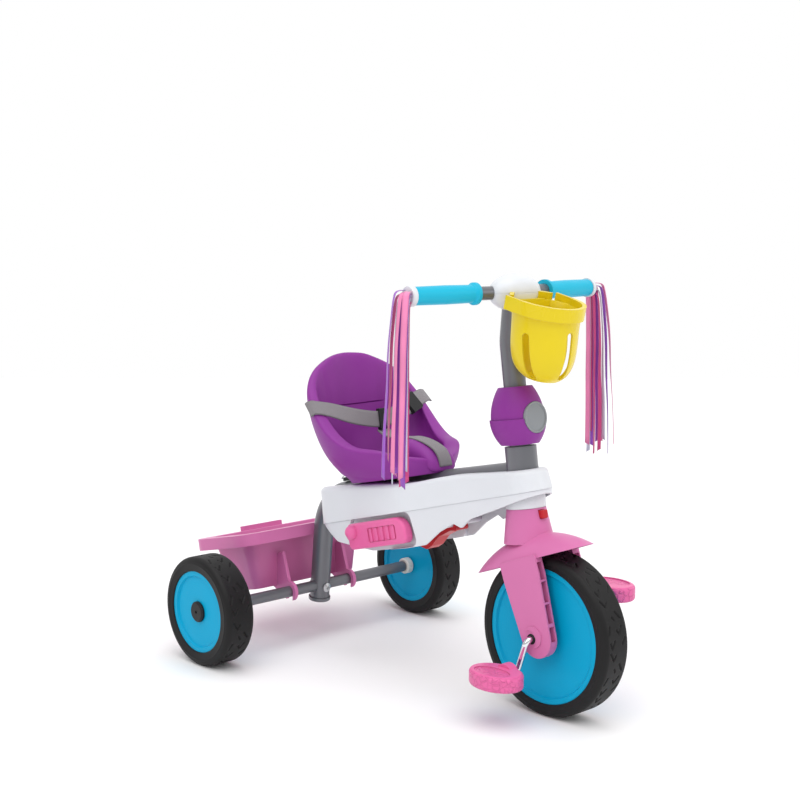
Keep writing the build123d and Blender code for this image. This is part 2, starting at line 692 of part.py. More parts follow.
with BuildPart() as seat_shell:
    loft(seat_sections(SEAT_OUTER))
    with BuildSketch(SEAT_SIDE):
        with BuildLine():
            rim = Spline(*SEAT_RIM)
            Polyline(rim @ 1, (260, (rim @ 1).Y), (260, (rim @ 0).Y), rim @ 0)
        make_face()
    extrude(amount=160, both=True, mode=Mode.SUBTRACT)
    add(seat_hollow.part, mode=Mode.SUBTRACT)
    rim_faces = seat_shell.faces().filter_by(GeomType.EXTRUSION)
    fillet([edge for face in rim_faces for edge in face.edges() if abs(edge.center().Y) > 1], SEAT_ROLL)
    extrude(seat_sections(SEAT_OUTER[:1])[0], amount=-SEAT_SKIRT)
    with BuildSketch(Plane(origin=SEAT_TUBE.origin, x_dir=(0, 1, 0), z_dir=SEAT.x_dir)):
        Circle(TUBE_D / 2 + LOOSE_FIT)
    extrude(amount=SEAT_OUTER[0][1] + SEAT_OUTER[0][2], both=True, mode=Mode.SUBTRACT)
    with BuildSketch(SEAT_SIDE):
        with BuildLine():
            FilletPolyline(*POMMEL_LINE, radius=(10, 12, 14, 10), close=False)
            Line(POMMEL_LINE[-1], POMMEL_LINE[0])
        make_face()
    extrude(amount=POMMEL_WIDTH / 2, both=True)
    with BuildSketch(SEAT.offset(-SEAT_SKIRT)):
        with Locations((SADDLE_U, 0)):
            Rectangle(SADDLE_LENGTH, SADDLE_WIDTH)
        with Locations((TONGUE_U, 0)):
            Rectangle(
                SADDLE_U - 10 - TONGUE_U, TONGUE_WIDTH + 2 * LOOSE_FIT, align=(Align.MIN, Align.CENTER))
    extrude(amount=SEAT_SKIRT + SADDLE_RISE, mode=Mode.SUBTRACT)
write(seat_shell, "seat_shell")

with BuildPart() as seat_saddle:
    with BuildSketch(SEAT.offset(-SADDLE_DROP)):
        with Locations((SADDLE_U, 0)):
            Rectangle(SADDLE_LENGTH, SADDLE_WIDTH)
    extrude(amount=SADDLE_DROP + SADDLE_RISE)
    with BuildSketch(Plane(origin=SEAT_TUBE.origin, x_dir=(0, 1, 0), z_dir=SEAT.x_dir)):
        Circle(TUBE_D / 2 + RUN_FIT)
    extrude(amount=200, mode=Mode.SUBTRACT)
    with BuildSketch(SEAT.offset(-SEAT_LIFT / 2)):
        with Locations((TONGUE_U - 6, 0)):
            Rectangle(
                SADDLE_U - SADDLE_LENGTH / 2 - TONGUE_U + 8, TONGUE_WIDTH, align=(Align.MIN, Align.CENTER))
    extrude(amount=TONGUE_HEIGHT)
    with BuildSketch(SEAT.offset(-TUBE_D)):
        with Locations((TONGUE_U, 0)):
            Circle(PIN_D / 2 + RUN_FIT)
    extrude(amount=2 * TUBE_D, mode=Mode.SUBTRACT)
write(seat_saddle, "seat_saddle")

# Pull pin that holds the saddle in the slot of the tube, with its wire ring
PIN_EYE = SEAT.from_local_coords((TONGUE_U, 0, TONGUE_HEIGHT + PIN_HEAD_R))
ring_fall = Vector(-cos(radians(RING_FALL)), 0, -sin(radians(RING_FALL)))
ring_square = ring_fall.cross(Vector(0, 1, 0))
RING_PLANE = Plane(origin=PIN_EYE + ring_fall * RING_R, x_dir=ring_fall, z_dir=ring_square)
with BuildPart() as seat_pin:
    with BuildSketch(SEAT.offset(-SEAT_LIFT - TUBE_WALL - PIN_REACH)):
        with Locations((TONGUE_U, 0)):
            Circle(PIN_D / 2)
    extrude(amount=SEAT_LIFT + TUBE_WALL + PIN_REACH + TONGUE_HEIGHT + PIN_HEAD_R / 3)
    with Locations(PIN_EYE):
        Sphere(PIN_HEAD_R)
    with BuildSketch(Plane(origin=PIN_EYE, z_dir=(0, 1, 0))):
        Circle(RING_WIRE_D * 1.25)
    extrude(amount=10, both=True, mode=Mode.SUBTRACT)
write(seat_pin, "seat_pin")
with BuildPart() as pin_ring:
    with Locations(RING_PLANE):
        Torus(RING_R, RING_WIRE_D / 2)
write(pin_ring, "pin_ring")

# Lap belt, a band that leans back on the wings of the seat and stands upright in the middle
BELT_STATIONS = (
    (124.4, -112, 400.7, 47), (134, -88, 396.7, 38), (149, -48, 385, 20), (157, -4, 378.5, 10),
    (149, 42, 385, 20), (134, 88, 396.7, 38), (124.4, 112, 400.7, 47),
)


def belt_plane(before, here, after):
    """A cut across the belt, with local x up its width."""
    run = Vector(*after[:3]) - Vector(*before[:3])
    turn = radians(here[3])
    place = Vector(REAR_X, 0, 0) + Vector(*here[:3])
    up = Vector(-sin(turn), 0, cos(turn))
    return Plane(origin=place, x_dir=up - run * (up.dot(run) / run.dot(run)), z_dir=run)


belt_planes = []
for index, here in enumerate(BELT_STATIONS):
    before = BELT_STATIONS[max(index - 1, 0)]
    after = BELT_STATIONS[min(index + 1, len(BELT_STATIONS) - 1)]
    belt_planes.append(belt_plane(before, here, after))
with BuildPart() as lap_belt:
    for plane in belt_planes:
        with BuildSketch(plane):
            Rectangle(STRAP_WIDTH, STRAP_THICKNESS)
    loft()
write(lap_belt, "lap_belt")

CROTCH_LINE = ((39, 72), (50, 61), (84, 54.5), (113, 53.2), (148.5, 38.6), (166.8, 21.2), (166.8, 4))
with BuildPart() as crotch_strap:
    with BuildSketch(SEAT_SIDE):
        with BuildLine():
            FilletPolyline(*CROTCH_LINE, radius=(16, 16, 12, 14, 10))
        trace(line_width=STRAP_THICKNESS)
    extrude(amount=STRAP_WIDTH / 2, both=True)
write(crotch_strap, "crotch_strap")

SLIDER_PLANE = belt_planes[len(belt_planes) // 2]
with BuildPart() as belt_slider:
    with BuildSketch(SLIDER_PLANE.offset(-SLIDER_LENGTH / 2)):
        RectangleRounded(STRAP_WIDTH + 8, STRAP_THICKNESS + 6, 2)
    extrude(amount=SLIDER_LENGTH)
    add(lap_belt.part, mode=Mode.SUBTRACT)
write(belt_slider, "belt_slider")

BUCKLE_PLANE = belt_planes[-2]
with BuildPart() as belt_buckle:
    with BuildSketch(BUCKLE_PLANE.offset(4 - BUCKLE_LENGTH)):
        RectangleRounded(STRAP_WIDTH + 7, STRAP_THICKNESS + 8, 3)
    extrude(amount=BUCKLE_LENGTH)
    add(lap_belt.part, mode=Mode.SUBTRACT)
    add(seat_shell.part, mode=Mode.SUBTRACT)
write(belt_buckle, "belt_buckle")

# Rear bin, a tapered bucket with a banded rim and two legs clipped over the axle
BIN = deck_plane(REAR_X + BIN_FRONT, BIN_FRONT_Z, BIN_TILT)
bin_tip = BIN_LIP_HEIGHT * sin(radians(BIN_TILT))
BIN_LENGTH = (BIN_OVERHANG + BIN_FRONT - bin_tip) / cos(radians(BIN_TILT))


def bin_outline(plane, inset):
    with BuildSketch(plane) as outline:
        with Locations((-BIN_LENGTH / 2, 0)):
            RectangleRounded(BIN_LENGTH - 2 * inset, BIN_WIDTH - 2 * inset, BIN_CORNER - inset * 0.5)
    return outline.sketch


bin_shrink = BIN_DEPTH * tan(radians(BIN_DRAFT))
with BuildPart() as bin_room:
    loft([
        bin_outline(BIN, BIN_FLANGE),
        bin_outline(BIN.offset(-BIN_DEPTH + BIN_WALL), BIN_FLANGE + bin_shrink),
    ], ruled=True)
with BuildPart() as rear_bin:
    extrude(bin_outline(BIN, 0), amount=-BIN_BAND)
    extrude(bin_outline(BIN.offset(-BIN_WALL), BIN_WALL), amount=-BIN_BAND, mode=Mode.SUBTRACT)
    loft([
        bin_outline(BIN, BIN_FLANGE - BIN_WALL),
        bin_outline(BIN.offset(-BIN_DEPTH), BIN_FLANGE - BIN_WALL + bin_shrink),
    ], ruled=True)
    with BuildSketch(BIN):
        with Locations((-BIN_LENGTH + 5, 0)):
            RectangleRounded(10, BIN_LIP_WIDTH, 4)
    extrude(amount=BIN_LIP_HEIGHT)
    for side, word in SIDES:
        with BuildSketch(Plane.XZ.offset(-side * (BIN_CLIP_LATERAL - BIN_CLIP / 2))):
            with Locations((REAR_X, REAR_Z)):
                Circle(AXLE_D / 2 + 7)
            with BuildLine():
                Polyline(
                    (REAR_X - 60, BIN_FRONT_Z - 60), (REAR_X - 18, BIN_FRONT_Z - 40),
                    (REAR_X - 2, REAR_Z + 15), (REAR_X - 2, REAR_Z - 15), (REAR_X - 70, REAR_Z + 12), close=True,
                )
            make_face()
            with Locations((REAR_X, REAR_Z)):
                Circle(AXLE_D / 2 + RUN_FIT, mode=Mode.SUBTRACT)
            with Locations((REAR_X, REAR_Z - AXLE_D)):
                Rectangle(AXLE_D * 0.9, AXLE_D * 2, mode=Mode.SUBTRACT)
        extrude(amount=-side * BIN_CLIP)
    add(bin_room.part, mode=Mode.SUBTRACT)
write(rear_bin, "rear_bin")

# Fork: a neck round the stem, a fender over the wheel and two ribbed legs
FENDER_CENTRE = LEG_SIDE.from_local_coords((0, -FENDER_DROP, 0))
FENDER_PLANE = Plane(origin=FENDER_CENTRE, x_dir=(0, 1, 0), z_dir=LEG_SIDE.x_dir)


def button_plane(ahead):
    """Square to the button's way, at a distance ahead of the steering axis."""
    place = STEER.from_local_coords((ahead, 0, BUTTON_HEIGHT))
    return Plane(origin=place, x_dir=(0, 1, 0), z_dir=STEER.x_dir)


with BuildPart() as fork:
    with BuildSketch(FENDER_PLANE):
        with Locations((0, FENDER_RING)):
            Circle(FENDER_R)
            Circle(FENDER_R - FENDER_WALL, mode=Mode.SUBTRACT)
    revolve(axis=cross_axis(FENDER_CENTRE))
    with BuildSketch(LEG_SIDE):
        with Locations((0, FENDER_EDGE - 200)):
            Rectangle(600, 400)
    extrude(amount=80, both=True, mode=Mode.SUBTRACT)
    with BuildSketch(STEER_SIDE):
        with BuildLine():
            Polyline(
                (0, NECK_LOW - 6), (NECK_LOW_R + 1, NECK_LOW - 6), (NECK_LOW_R, NECK_LOW),
                (NECK_TOP_R, NECK_TOP), (0, NECK_TOP), close=True,
            )
        make_face()
    revolve(axis=STEER_AXIS)
    for side, word in SIDES:
        with BuildSketch(LEG_SIDE.offset(-side * LEG_NEAR)):
            with Locations((8.5, -2)):
                Circle(LEG_FOOT_R)
            with Locations((10, FENDER_EDGE - 8)):
                Rectangle(2 * LEG_HALF, 26)
            make_hull()
            Circle(CRANK_BUSH_D / 2, mode=Mode.SUBTRACT)
        extrude(amount=-side * (LEG_FAR - LEG_NEAR))
        with BuildSketch(LEG_SIDE.offset(-side * LEG_FAR)):
            with Locations((5, 2)):
                Circle(15)
            with Locations((-3, 0)):
                Circle(13, mode=Mode.SUBTRACT)
        extrude(amount=-side * 2)
        with BuildSketch(LEG_SIDE.offset(-side * (LEG_NEAR + LEG_WEB))):
            for ahead, up, tall in LEG_WINDOWS:
                with Locations((ahead, up)):
                    Rectangle(LEG_WINDOW, tall)
        extrude(amount=-side * (LEG_FAR - LEG_NEAR - 2 * LEG_WEB), mode=Mode.SUBTRACT)
    with BuildSketch(STEER.offset(NECK_LOW - 20)):
        Circle(STEM_D / 2)
    extrude(amount=NECK_TOP - NECK_LOW + 40, mode=Mode.SUBTRACT)
    with BuildSketch(button_plane(BUTTON_SEAT - END_GAP)):
        Rectangle(BUTTON_SIZE + 2 * LOOSE_FIT, BUTTON_SIZE + 2 * LOOSE_FIT)
    extrude(amount=30, mode=Mode.SUBTRACT)
write(fork, "fork")

with BuildPart() as release_button:
    with BuildSketch(button_plane(BUTTON_SEAT + BUTTON_PRESS)):
        RectangleRounded(BUTTON_SIZE, BUTTON_SIZE, 2)
    extrude(amount=BUTTON_REACH - BUTTON_SEAT - BUTTON_PRESS)
    fillet(release_button.faces().sort_by(Axis.X)[-1].edges(), 1.5)
write(release_button, "release_button")

# Crank, a bent rod through the front wheel, with a pedal on each end
crank_dir = (cos(radians(CRANK_ANGLE)), sin(radians(CRANK_ANGLE)))


def crank_point(side, lateral, throw):
    return (FRONT_X - side * throw * crank_dir[0], side * lateral, FRONT_Z - side * throw * crank_dir[1])


with BuildPart() as crank:
    with BuildLine() as crank_line:
        FilletPolyline(
            crank_point(RIGHT, CRANK_END, CRANK_THROW), crank_point(RIGHT, CRANK_ARM, CRANK_THROW),
            crank_point(RIGHT, CRANK_ARM, 0), crank_point(LEFT, CRANK_ARM, 0),
            crank_point(LEFT, CRANK_ARM, CRANK_THROW), crank_point(LEFT, CRANK_END, CRANK_THROW),
            radius=CRANK_BEND,
        )
    crank_route = crank_line.wire()
    with BuildSketch(Plane(origin=crank_route @ 0, z_dir=crank_route % 0)):
        Circle(CRANK_D / 2)
    sweep(path=crank_route)
write(crank, "crank")

with BuildPart() as crank_bushes:
    for side, word in SIDES:
        with BuildSketch(LEG_SIDE.offset(-side * LEG_NEAR)):
            Circle(CRANK_BUSH_D / 2)
            Circle(CRANK_D / 2 + RUN_FIT, mode=Mode.SUBTRACT)
        extrude(amount=-side * (LEG_FAR - LEG_NEAR))
write(crank_bushes, "crank_bushes")

for side, word in SIDES:
    spindle = crank_point(side, 0, CRANK_THROW)
    middle = PEDAL_NEAR + PEDAL_WIDTH / 2
    with BuildPart() as pedal:
        with BuildSketch(Plane.XY.offset(spindle[2] - PEDAL_HEIGHT / 2)):
            with Locations((spindle[0], side * middle)):
                Ellipse(PEDAL_LENGTH / 2, PEDAL_WIDTH / 2)
        extrude(amount=PEDAL_HEIGHT)
        fillet(pedal.edges(), 5)
        with BuildSketch(Plane.XZ.offset(-side * (PEDAL_NEAR + 2))):
            with Locations((spindle[0], spindle[2])):
                Circle(PEDAL_HEIGHT / 2 + 5)
        extrude(amount=-side * 14)
        for face_z, into in ((spindle[2] + PEDAL_HEIGHT / 2, -1), (spindle[2] - PEDAL_HEIGHT / 2, 1)):
            with BuildSketch(Plane.XY.offset(face_z)):
                with Locations((spindle[0], side * (middle + 8))):
                    Ellipse(PEDAL_LENGTH / 2 - 12, PEDAL_WIDTH / 2 - 15)
            extrude(amount=into * 1.5, mode=Mode.SUBTRACT)
        with BuildSketch(Plane.XZ.offset(-side * (PEDAL_NEAR - 1))):
            with Locations((spindle[0], spindle[2])):
                Circle(CRANK_D / 2 + RUN_FIT)
        extrude(amount=-side * (CRANK_END - PEDAL_NEAR + 2), mode=Mode.SUBTRACT)
    write(pedal, f"pedal_{word}")

# Stem, one tube that kinks forward into the handlebar hub
BAR_CENTRE = (REAR_X + BAR_X, 0, BAR_Z)
kink = steer_point(STEM_KINK)
stem_top = (BAR_CENTRE[0] - 1, BAR_Z - BAR_D / 2 - 2)
with BuildLine(Plane.XZ) as stem_line:
    FilletPolyline(steer_point(NECK_LOW), kink, stem_top, radius=STEM_BEND)
stem_route = stem_line.wire()
STEM_FOOT = Plane(origin=stem_route @ 0, x_dir=(0, 1, 0), z_dir=stem_route % 0)
with BuildPart() as stem_solid:
    with BuildSketch(STEM_FOOT):
        Circle(STEM_D / 2)
    sweep(path=stem_route)
with BuildPart() as stem:
    add(stem_solid.part)
    with BuildSketch(STEM_FOOT):
        Circle(STEM_D / 2 - STEM_WALL)
    sweep(path=stem_route, mode=Mode.SUBTRACT)
write(stem, "stem")


# Ball cover in two hollow halves, stepped at the seam, with a plain medallion pegged in front
MEDALLION_PLANE = Plane(
    origin=STEER.from_local_coords((MEDALLION_SEAT, 0, BALL_SEAM)), x_dir=(0, 1, 0), z_dir=STEER.x_dir)


def ball_half(low, low_r, high, high_r, name):
    belly = (low_r + high_r) / 2 + BALL_BULGE
    core = STEM_D / 2 + 2
    with BuildPart() as half:
        with BuildSketch(STEER_SIDE):
            with BuildLine():
                outer = ThreePointArc((low_r, low), (belly, (low + high) / 2), (high_r, high))
                Polyline(outer @ 1, (STEM_D / 2, high), (STEM_D / 2, low), outer @ 0)
            make_face()
        revolve(axis=STEER_AXIS)
        with BuildSketch(STEER_SIDE):
            with BuildLine():
                inner = ThreePointArc(
                    (low_r - BALL_WALL, low + BALL_WALL),
                    (belly - BALL_WALL, (low + high) / 2),
                    (high_r - BALL_WALL, high - BALL_WALL),
                )
                Polyline(inner @ 1, (core, high - BALL_WALL), (core, low + BALL_WALL), inner @ 0)
            make_face()
        revolve(axis=STEER_AXIS, mode=Mode.SUBTRACT)
        with BuildSketch(MEDALLION_PLANE.offset(-LOOSE_FIT)):
            Circle(MEDALLION_D / 2 + LOOSE_FIT)
        extrude(amount=BALL_MID_R, mode=Mode.SUBTRACT)
        with BuildSketch(MEDALLION_PLANE):
            Circle(MEDALLION_PEG_D / 2 + RUN_FIT)
        extrude(amount=-MEDALLION_SEAT, mode=Mode.SUBTRACT)
    write(half, name)


ball_half(BALL_LOW, BALL_LOW_R, BALL_SEAM, BALL_MID_R, "ball_lower")
ball_half(BALL_SEAM, BALL_MID_R - 2, BALL_TOP, BALL_TOP_R, "ball_upper")

with BuildPart() as medallion:
    with BuildSketch(MEDALLION_PLANE):
        Circle(MEDALLION_D / 2)
    extrude(amount=MEDALLION)
    with BuildSketch(MEDALLION_PLANE.offset(MEDALLION * 0.7)):
        Circle(MEDALLION_D / 2 - MEDALLION_RIM)
    extrude(amount=MEDALLION, mode=Mode.SUBTRACT)
    with BuildSketch(MEDALLION_PLANE):
        Circle(MEDALLION_PEG_D / 2)
    extrude(amount=-MEDALLION_SEAT + STEM_D / 4)
    add(stem_solid.part, mode=Mode.SUBTRACT)
write(medallion, "medallion")

# Handlebar, swept back a little on each side, with its egg-shaped hub cover
sweep_turn = radians(BAR_SWEEP)


def bar_point(side, along):
    return (BAR_CENTRE[0] - along * sin(sweep_turn), side * along * cos(sweep_turn), BAR_Z)


with BuildLine() as bar_line:
    FilletPolyline(bar_point(RIGHT, BAR_HALF), BAR_CENTRE, bar_point(LEFT, BAR_HALF), radius=BAR_BEND)
bar_route = bar_line.wire()
BAR_END = Plane(origin=bar_route @ 0, z_dir=bar_route % 0)
with BuildPart() as bar_solid:
    with BuildSketch(BAR_END):
        Circle(BAR_D / 2)
    sweep(path=bar_route)
with BuildPart() as handlebar:
    add(bar_solid.part)
    with BuildSketch(BAR_END):
        Circle(BAR_D / 2 - BAR_WALL)
    sweep(path=bar_route, mode=Mode.SUBTRACT)
write(handlebar, "handlebar")

for tall, name in ((1, "hub_upper"), (-1, "hub_lower")):
    with BuildPart() as hub_half:
        with BuildSketch(spin_plane(BAR_CENTRE)):
            Ellipse(HUB_HALF, HUB_R)
            Rectangle(4 * HUB_HALF, 2 * HUB_R, align=(Align.CENTER, Align.MAX), mode=Mode.SUBTRACT)
        revolve(axis=cross_axis(BAR_CENTRE))
        with BuildSketch(Plane.XY.offset(BAR_Z)):
            with Locations((BAR_CENTRE[0], 0)):
                Rectangle(4 * HUB_R, 4 * HUB_HALF)
        extrude(amount=-tall * 2 * HUB_R, mode=Mode.SUBTRACT)
        add(bar_solid.part, mode=Mode.SUBTRACT)
        add(stem_solid.part, mode=Mode.SUBTRACT)
    write(hub_half, name)

for side, word in SIDES:
    out = Vector(-sin(sweep_turn), side * cos(sweep_turn), 0)
    ahead = Vector(side * out.Y, -side * out.X, 0)
    along = Plane(origin=BAR_CENTRE, x_dir=out, z_dir=ahead)
    grip_axis = Axis(BAR_CENTRE, out)
    with BuildPart() as grip:
        with BuildSketch(along):
            with BuildLine():
                Polyline(
                    (GRIP_NEAR, BAR_D / 2), (GRIP_NEAR, GRIP_FLANGE_R),
                    (GRIP_NEAR + GRIP_FLANGE, GRIP_FLANGE_R),
                    (GRIP_NEAR + GRIP_FLANGE + 4, GRIP_R - 0.6), ((GRIP_NEAR + GRIP_FAR) / 2, GRIP_R),
                    (GRIP_FAR, GRIP_R - 0.6), (GRIP_FAR, BAR_D / 2), close=True,
                )
            make_face()
        revolve(axis=grip_axis)
    write(grip, f"grip_{word}")
    with BuildPart() as bar_plug:
        with BuildSketch(along):
            with BuildLine():
                Polyline(
                    (GRIP_FAR, 0), (GRIP_FAR, END_PLUG_R), (GRIP_FAR + END_PLUG - 2, END_PLUG_R),
                    (GRIP_FAR + END_PLUG, END_PLUG_R - 1), (GRIP_FAR + END_PLUG, 0), close=True,
                )
            make_face()
        revolve(axis=grip_axis)
    write(bar_plug, f"bar_{word}_plug")

# Basket, a deep cup with a flat back, a banded rim and two arms beside the hub
BASKET = deck_plane(REAR_X + BASKET_X, BASKET_Z, BASKET_TILT)
CUP_RINGS = ((0, 0, 0), (-45, 5, 3), (-80, 10, 9), (-BASKET_DEPTH, 14, 26))


def cup_sections(inset):
    rings = []
    for height, shift, shrink in CUP_RINGS:
        level = height + inset if height == -BASKET_DEPTH else height
        with BuildSketch(BASKET.offset(level)) as ring:
            with Locations((shift, 0)):
                Ellipse(BASKET_R - shrink - inset, BASKET_R - shrink - inset)
        rings.append(ring.sketch)
    return rings


def behind(x):
    """A floor plan that covers all that lies behind x, in front of the handlebar hub."""
    with BuildSketch(Plane.XY.offset(BASKET_Z - 200)) as region:
        with Locations((REAR_X + x, 0)):
            Rectangle(200, 200, align=(Align.MAX, Align.CENTER))
    return region.sketch


with BuildPart() as cup_room:
    loft(cup_sections(BASKET_WALL))
    extrude(behind(BASKET_BACK + BASKET_WALL), amount=400, mode=Mode.SUBTRACT)

with BuildPart() as hub_room:
    with BuildSketch(spin_plane(BAR_CENTRE)):
        Ellipse(HUB_HALF + RUN_FIT, HUB_R + RUN_FIT)
        Rectangle(4 * HUB_HALF, 4 * HUB_R, align=(Align.CENTER, Align.MAX), mode=Mode.SUBTRACT)
    revolve(axis=cross_axis(BAR_CENTRE))

with BuildPart() as basket:
    loft(cup_sections(0))
    extrude(behind(BASKET_BACK), amount=400, mode=Mode.SUBTRACT)
    with BuildSketch(BASKET.offset(-BASKET_BAND / 2)):
        Circle(BASKET_R + BASKET_WALL)
        with Locations((-BASKET_ARM, 0)):
            Rectangle(BASKET_ARM, 2 * (BASKET_R + BASKET_WALL), align=(Align.MIN, Align.CENTER))
        Circle(BASKET_R - BASKET_WALL, mode=Mode.SUBTRACT)
        with Locations((-BASKET_ARM, 0)):
            Rectangle(
                BASKET_ARM, 2 * (BASKET_R - 1), align=(Align.MIN, Align.CENTER), mode=Mode.SUBTRACT)
    extrude(amount=BASKET_BAND)
    with BuildSketch(Plane.XY.offset(BAR_Z - HUB_R)):
        with Locations((REAR_X + BASKET_BACK + BASKET_WALL, 0)):
            Rectangle(16, 2 * HUB_R, align=(Align.MAX, Align.CENTER))
    extrude(amount=BASKET_HOOK)
    add(hub_room.part, mode=Mode.SUBTRACT)
    add(cup_room.part, mode=Mode.SUBTRACT)
    for turn in BASKET_SLOTS:
        face = Plane(origin=BASKET.origin, x_dir=(-sin(radians(turn)), cos(radians(turn)), 0),
                     z_dir=(cos(radians(turn)), sin(radians(turn)), 0))
        with BuildSketch(face.offset(10)):
            with Locations((0, -BASKET_DEPTH * 0.68)):
                SlotOverall(BASKET_DEPTH * 0.66, BASKET_SLOT, rotation=90)
        extrude(amount=60, mode=Mode.SUBTRACT)
write(basket, "basket")


# Streamers: flat ribbons that leave each end plug, fold over and hang
def fold_radii(points):
    """A bend radius for every corner, set by its turn and by the shorter of its two runs."""
    radii = []
    for before, here, after in zip(points, points[1:], points[2:]):
        run_in = (here[0] - before[0], here[1] - before[1])
        run_out = (after[0] - here[0], after[1] - here[1])
        crossed = run_in[0] * run_out[1] - run_in[1] * run_out[0]
        dotted = run_in[0] * run_out[0] + run_in[1] * run_out[1]
        turn = abs(atan2(crossed, dotted))
        radii.append(0.45 * min(hypot(*run_in), hypot(*run_out)) / tan(turn / 2))
    return radii


def ribbon_route(start, height, spread, wave, fall):
    """Out from the plug, over and down, as distances out from the plug's face and up from its middle."""
    out = start + 4.0 + 8.0 * (height + 7.0) / 15.0
    points = [(start, height), (out, height + 0.8), (out + 4.0, height - 12.0)]
    for step, drop in enumerate(RIBBON_DROPS):
        sway = wave * (1 if step % 2 else -1)
        points.append((out + 5.0 + spread * (step + 1) + sway, height + drop * fall))
    return points


for side, word in SIDES:
    out = Vector(-sin(sweep_turn), side * cos(sweep_turn), 0)
    ahead = Vector(side * out.Y, -side * out.X, 0)
    face = Vector(*BAR_CENTRE) + out * (GRIP_FAR + END_PLUG)
    for colour, ribbons in RIBBONS.items():
        longest = 0
        section = 0
        with BuildPart() as streamer:
            for column, height, width, spread, wave, fall in ribbons:
                splay = radians(RIBBON_SPLAY[column])
                way = out * cos(splay) + ahead * sin(splay)
                start = RIBBON_CLEAR + abs(tan(splay)) * width / 2
                points = ribbon_route(start, height, spread, wave, fall)
                radii = fold_radii(points)
                root = face + ahead * (column * RIBBON_ROOT)
                plane = Plane(origin=root, x_dir=way, z_dir=way.cross(Vector(0, 0, 1)))
                with BuildSketch(plane):
                    with BuildLine() as route:
                        FilletPolyline(*points, radius=radii)
                    trace(line_width=RIBBON_THICKNESS)
                extrude(amount=width / 2, both=True)
                longest = max(longest, route.wire().length)
                section += route.wire().length * width * RIBBON_THICKNESS
        print(word, colour, "radii", round(min(radii), 1), "longest", round(longest, 1),
              "volume", round(streamer.part.volume, 1), "from section", round(section, 1))
        write(streamer, f"streamer_{word}_{colour}")
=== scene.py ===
# %% [markdown]
# A children's tricycle with a bucket seat, a front basket and streamers on its grips.
# The frame that is loaded here holds every rigid piece at its real size, in metres, with +X forward,
# +Y to the rider's left and the floor at Z = 0. This script adds what a rigid model lacks: the camera
# and light, satin ribbons, webbing, tread, a smoother seat, and a finish for every piece.

# %% Load the frame
import json
import math

import bmesh
import bpy
import numpy as np
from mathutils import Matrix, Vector


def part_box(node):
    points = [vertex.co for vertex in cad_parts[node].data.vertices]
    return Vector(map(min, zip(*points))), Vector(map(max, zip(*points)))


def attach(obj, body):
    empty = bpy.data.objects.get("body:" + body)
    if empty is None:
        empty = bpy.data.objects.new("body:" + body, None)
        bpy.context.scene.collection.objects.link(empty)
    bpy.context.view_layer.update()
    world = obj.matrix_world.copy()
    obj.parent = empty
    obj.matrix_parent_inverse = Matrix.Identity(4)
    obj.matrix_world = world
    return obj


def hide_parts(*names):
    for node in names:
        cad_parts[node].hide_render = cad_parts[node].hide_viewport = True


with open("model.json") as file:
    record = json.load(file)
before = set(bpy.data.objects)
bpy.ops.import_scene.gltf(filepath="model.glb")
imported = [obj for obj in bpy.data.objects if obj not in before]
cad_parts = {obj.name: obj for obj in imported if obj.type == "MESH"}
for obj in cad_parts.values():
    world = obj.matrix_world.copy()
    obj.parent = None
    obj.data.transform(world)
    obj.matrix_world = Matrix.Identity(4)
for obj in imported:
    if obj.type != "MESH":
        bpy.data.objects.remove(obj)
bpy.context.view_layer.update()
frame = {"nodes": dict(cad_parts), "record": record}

nodes = frame["nodes"]

# %% [markdown]
# The camera stands ahead and to the right of the tricycle, a little above the grips, and looks slightly down.
# A lens of about 64 mm on a 36 mm sensor keeps the wheels close to their true shapes.

# %% Camera
CAMERA_PLACE = (1.5515, -1.461, 0.684)
CAMERA_TURN = 47.353
CAMERA_DOWN = 7.217
LENS = 64.08
SENSOR = 36
MM = 0.001


def add_object(name, data):
    """Link new data into the scene as an object at the origin."""
    thing = bpy.data.objects.new(name, data)
    bpy.context.scene.collection.objects.link(thing)
    return thing


camera = add_object("camera", bpy.data.cameras.new("camera"))
camera.location = CAMERA_PLACE
camera.rotation_euler = (math.radians(90 - CAMERA_DOWN), 0, math.radians(CAMERA_TURN))
camera.data.lens = LENS
camera.data.sensor_width = SENSOR
bpy.context.scene.camera = camera
print("camera at", CAMERA_PLACE)

# %% [markdown]
# Shader maths is easier to read as arithmetic. Signal wraps one socket of a material, and each operator on it
# adds a Math node. Finish owns a material and makes every other node through one method, which sets the
# node's own settings first and then fills or links its sockets.


# %% Signals and finishes
class Signal:
    """One output socket of a material, with plain arithmetic."""

    def __init__(self, finish, socket):
        self.finish = finish
        self.socket = socket

    def math(self, operation, *values):
        return self.finish.node("ShaderNodeMath", {"operation": operation}, dict(enumerate(values)))

    def __add__(self, other):
        return self.math("ADD", self, other)

    def __sub__(self, other):
        return self.math("SUBTRACT", self, other)

    def __rsub__(self, other):
        return self.math("SUBTRACT", other, self)

    def __mul__(self, other):
        return self.math("MULTIPLY", self, other)

    def __truediv__(self, other):
        return self.math("DIVIDE", self, other)

    def __pow__(self, other):
        return self.math("POWER", self, other)

    __radd__ = __add__
    __rmul__ = __mul__

    def sine(self):
        return self.math("SINE", self)

    def size(self):
        return self.math("ABSOLUTE", self)

    def between(self, low, high):
        """0 below low, 1 above high, and a smooth rise between them."""
        return self.finish.node(
            "ShaderNodeMapRange", {"interpolation_type": "SMOOTHSTEP"},
            {"Value": self, "From Min": low, "From Max": high},
        )

    def part(self, axis):
        """X, Y or Z of a vector."""
        return self.finish.node("ShaderNodeSeparateXYZ", {}, {"Vector": self}, axis)


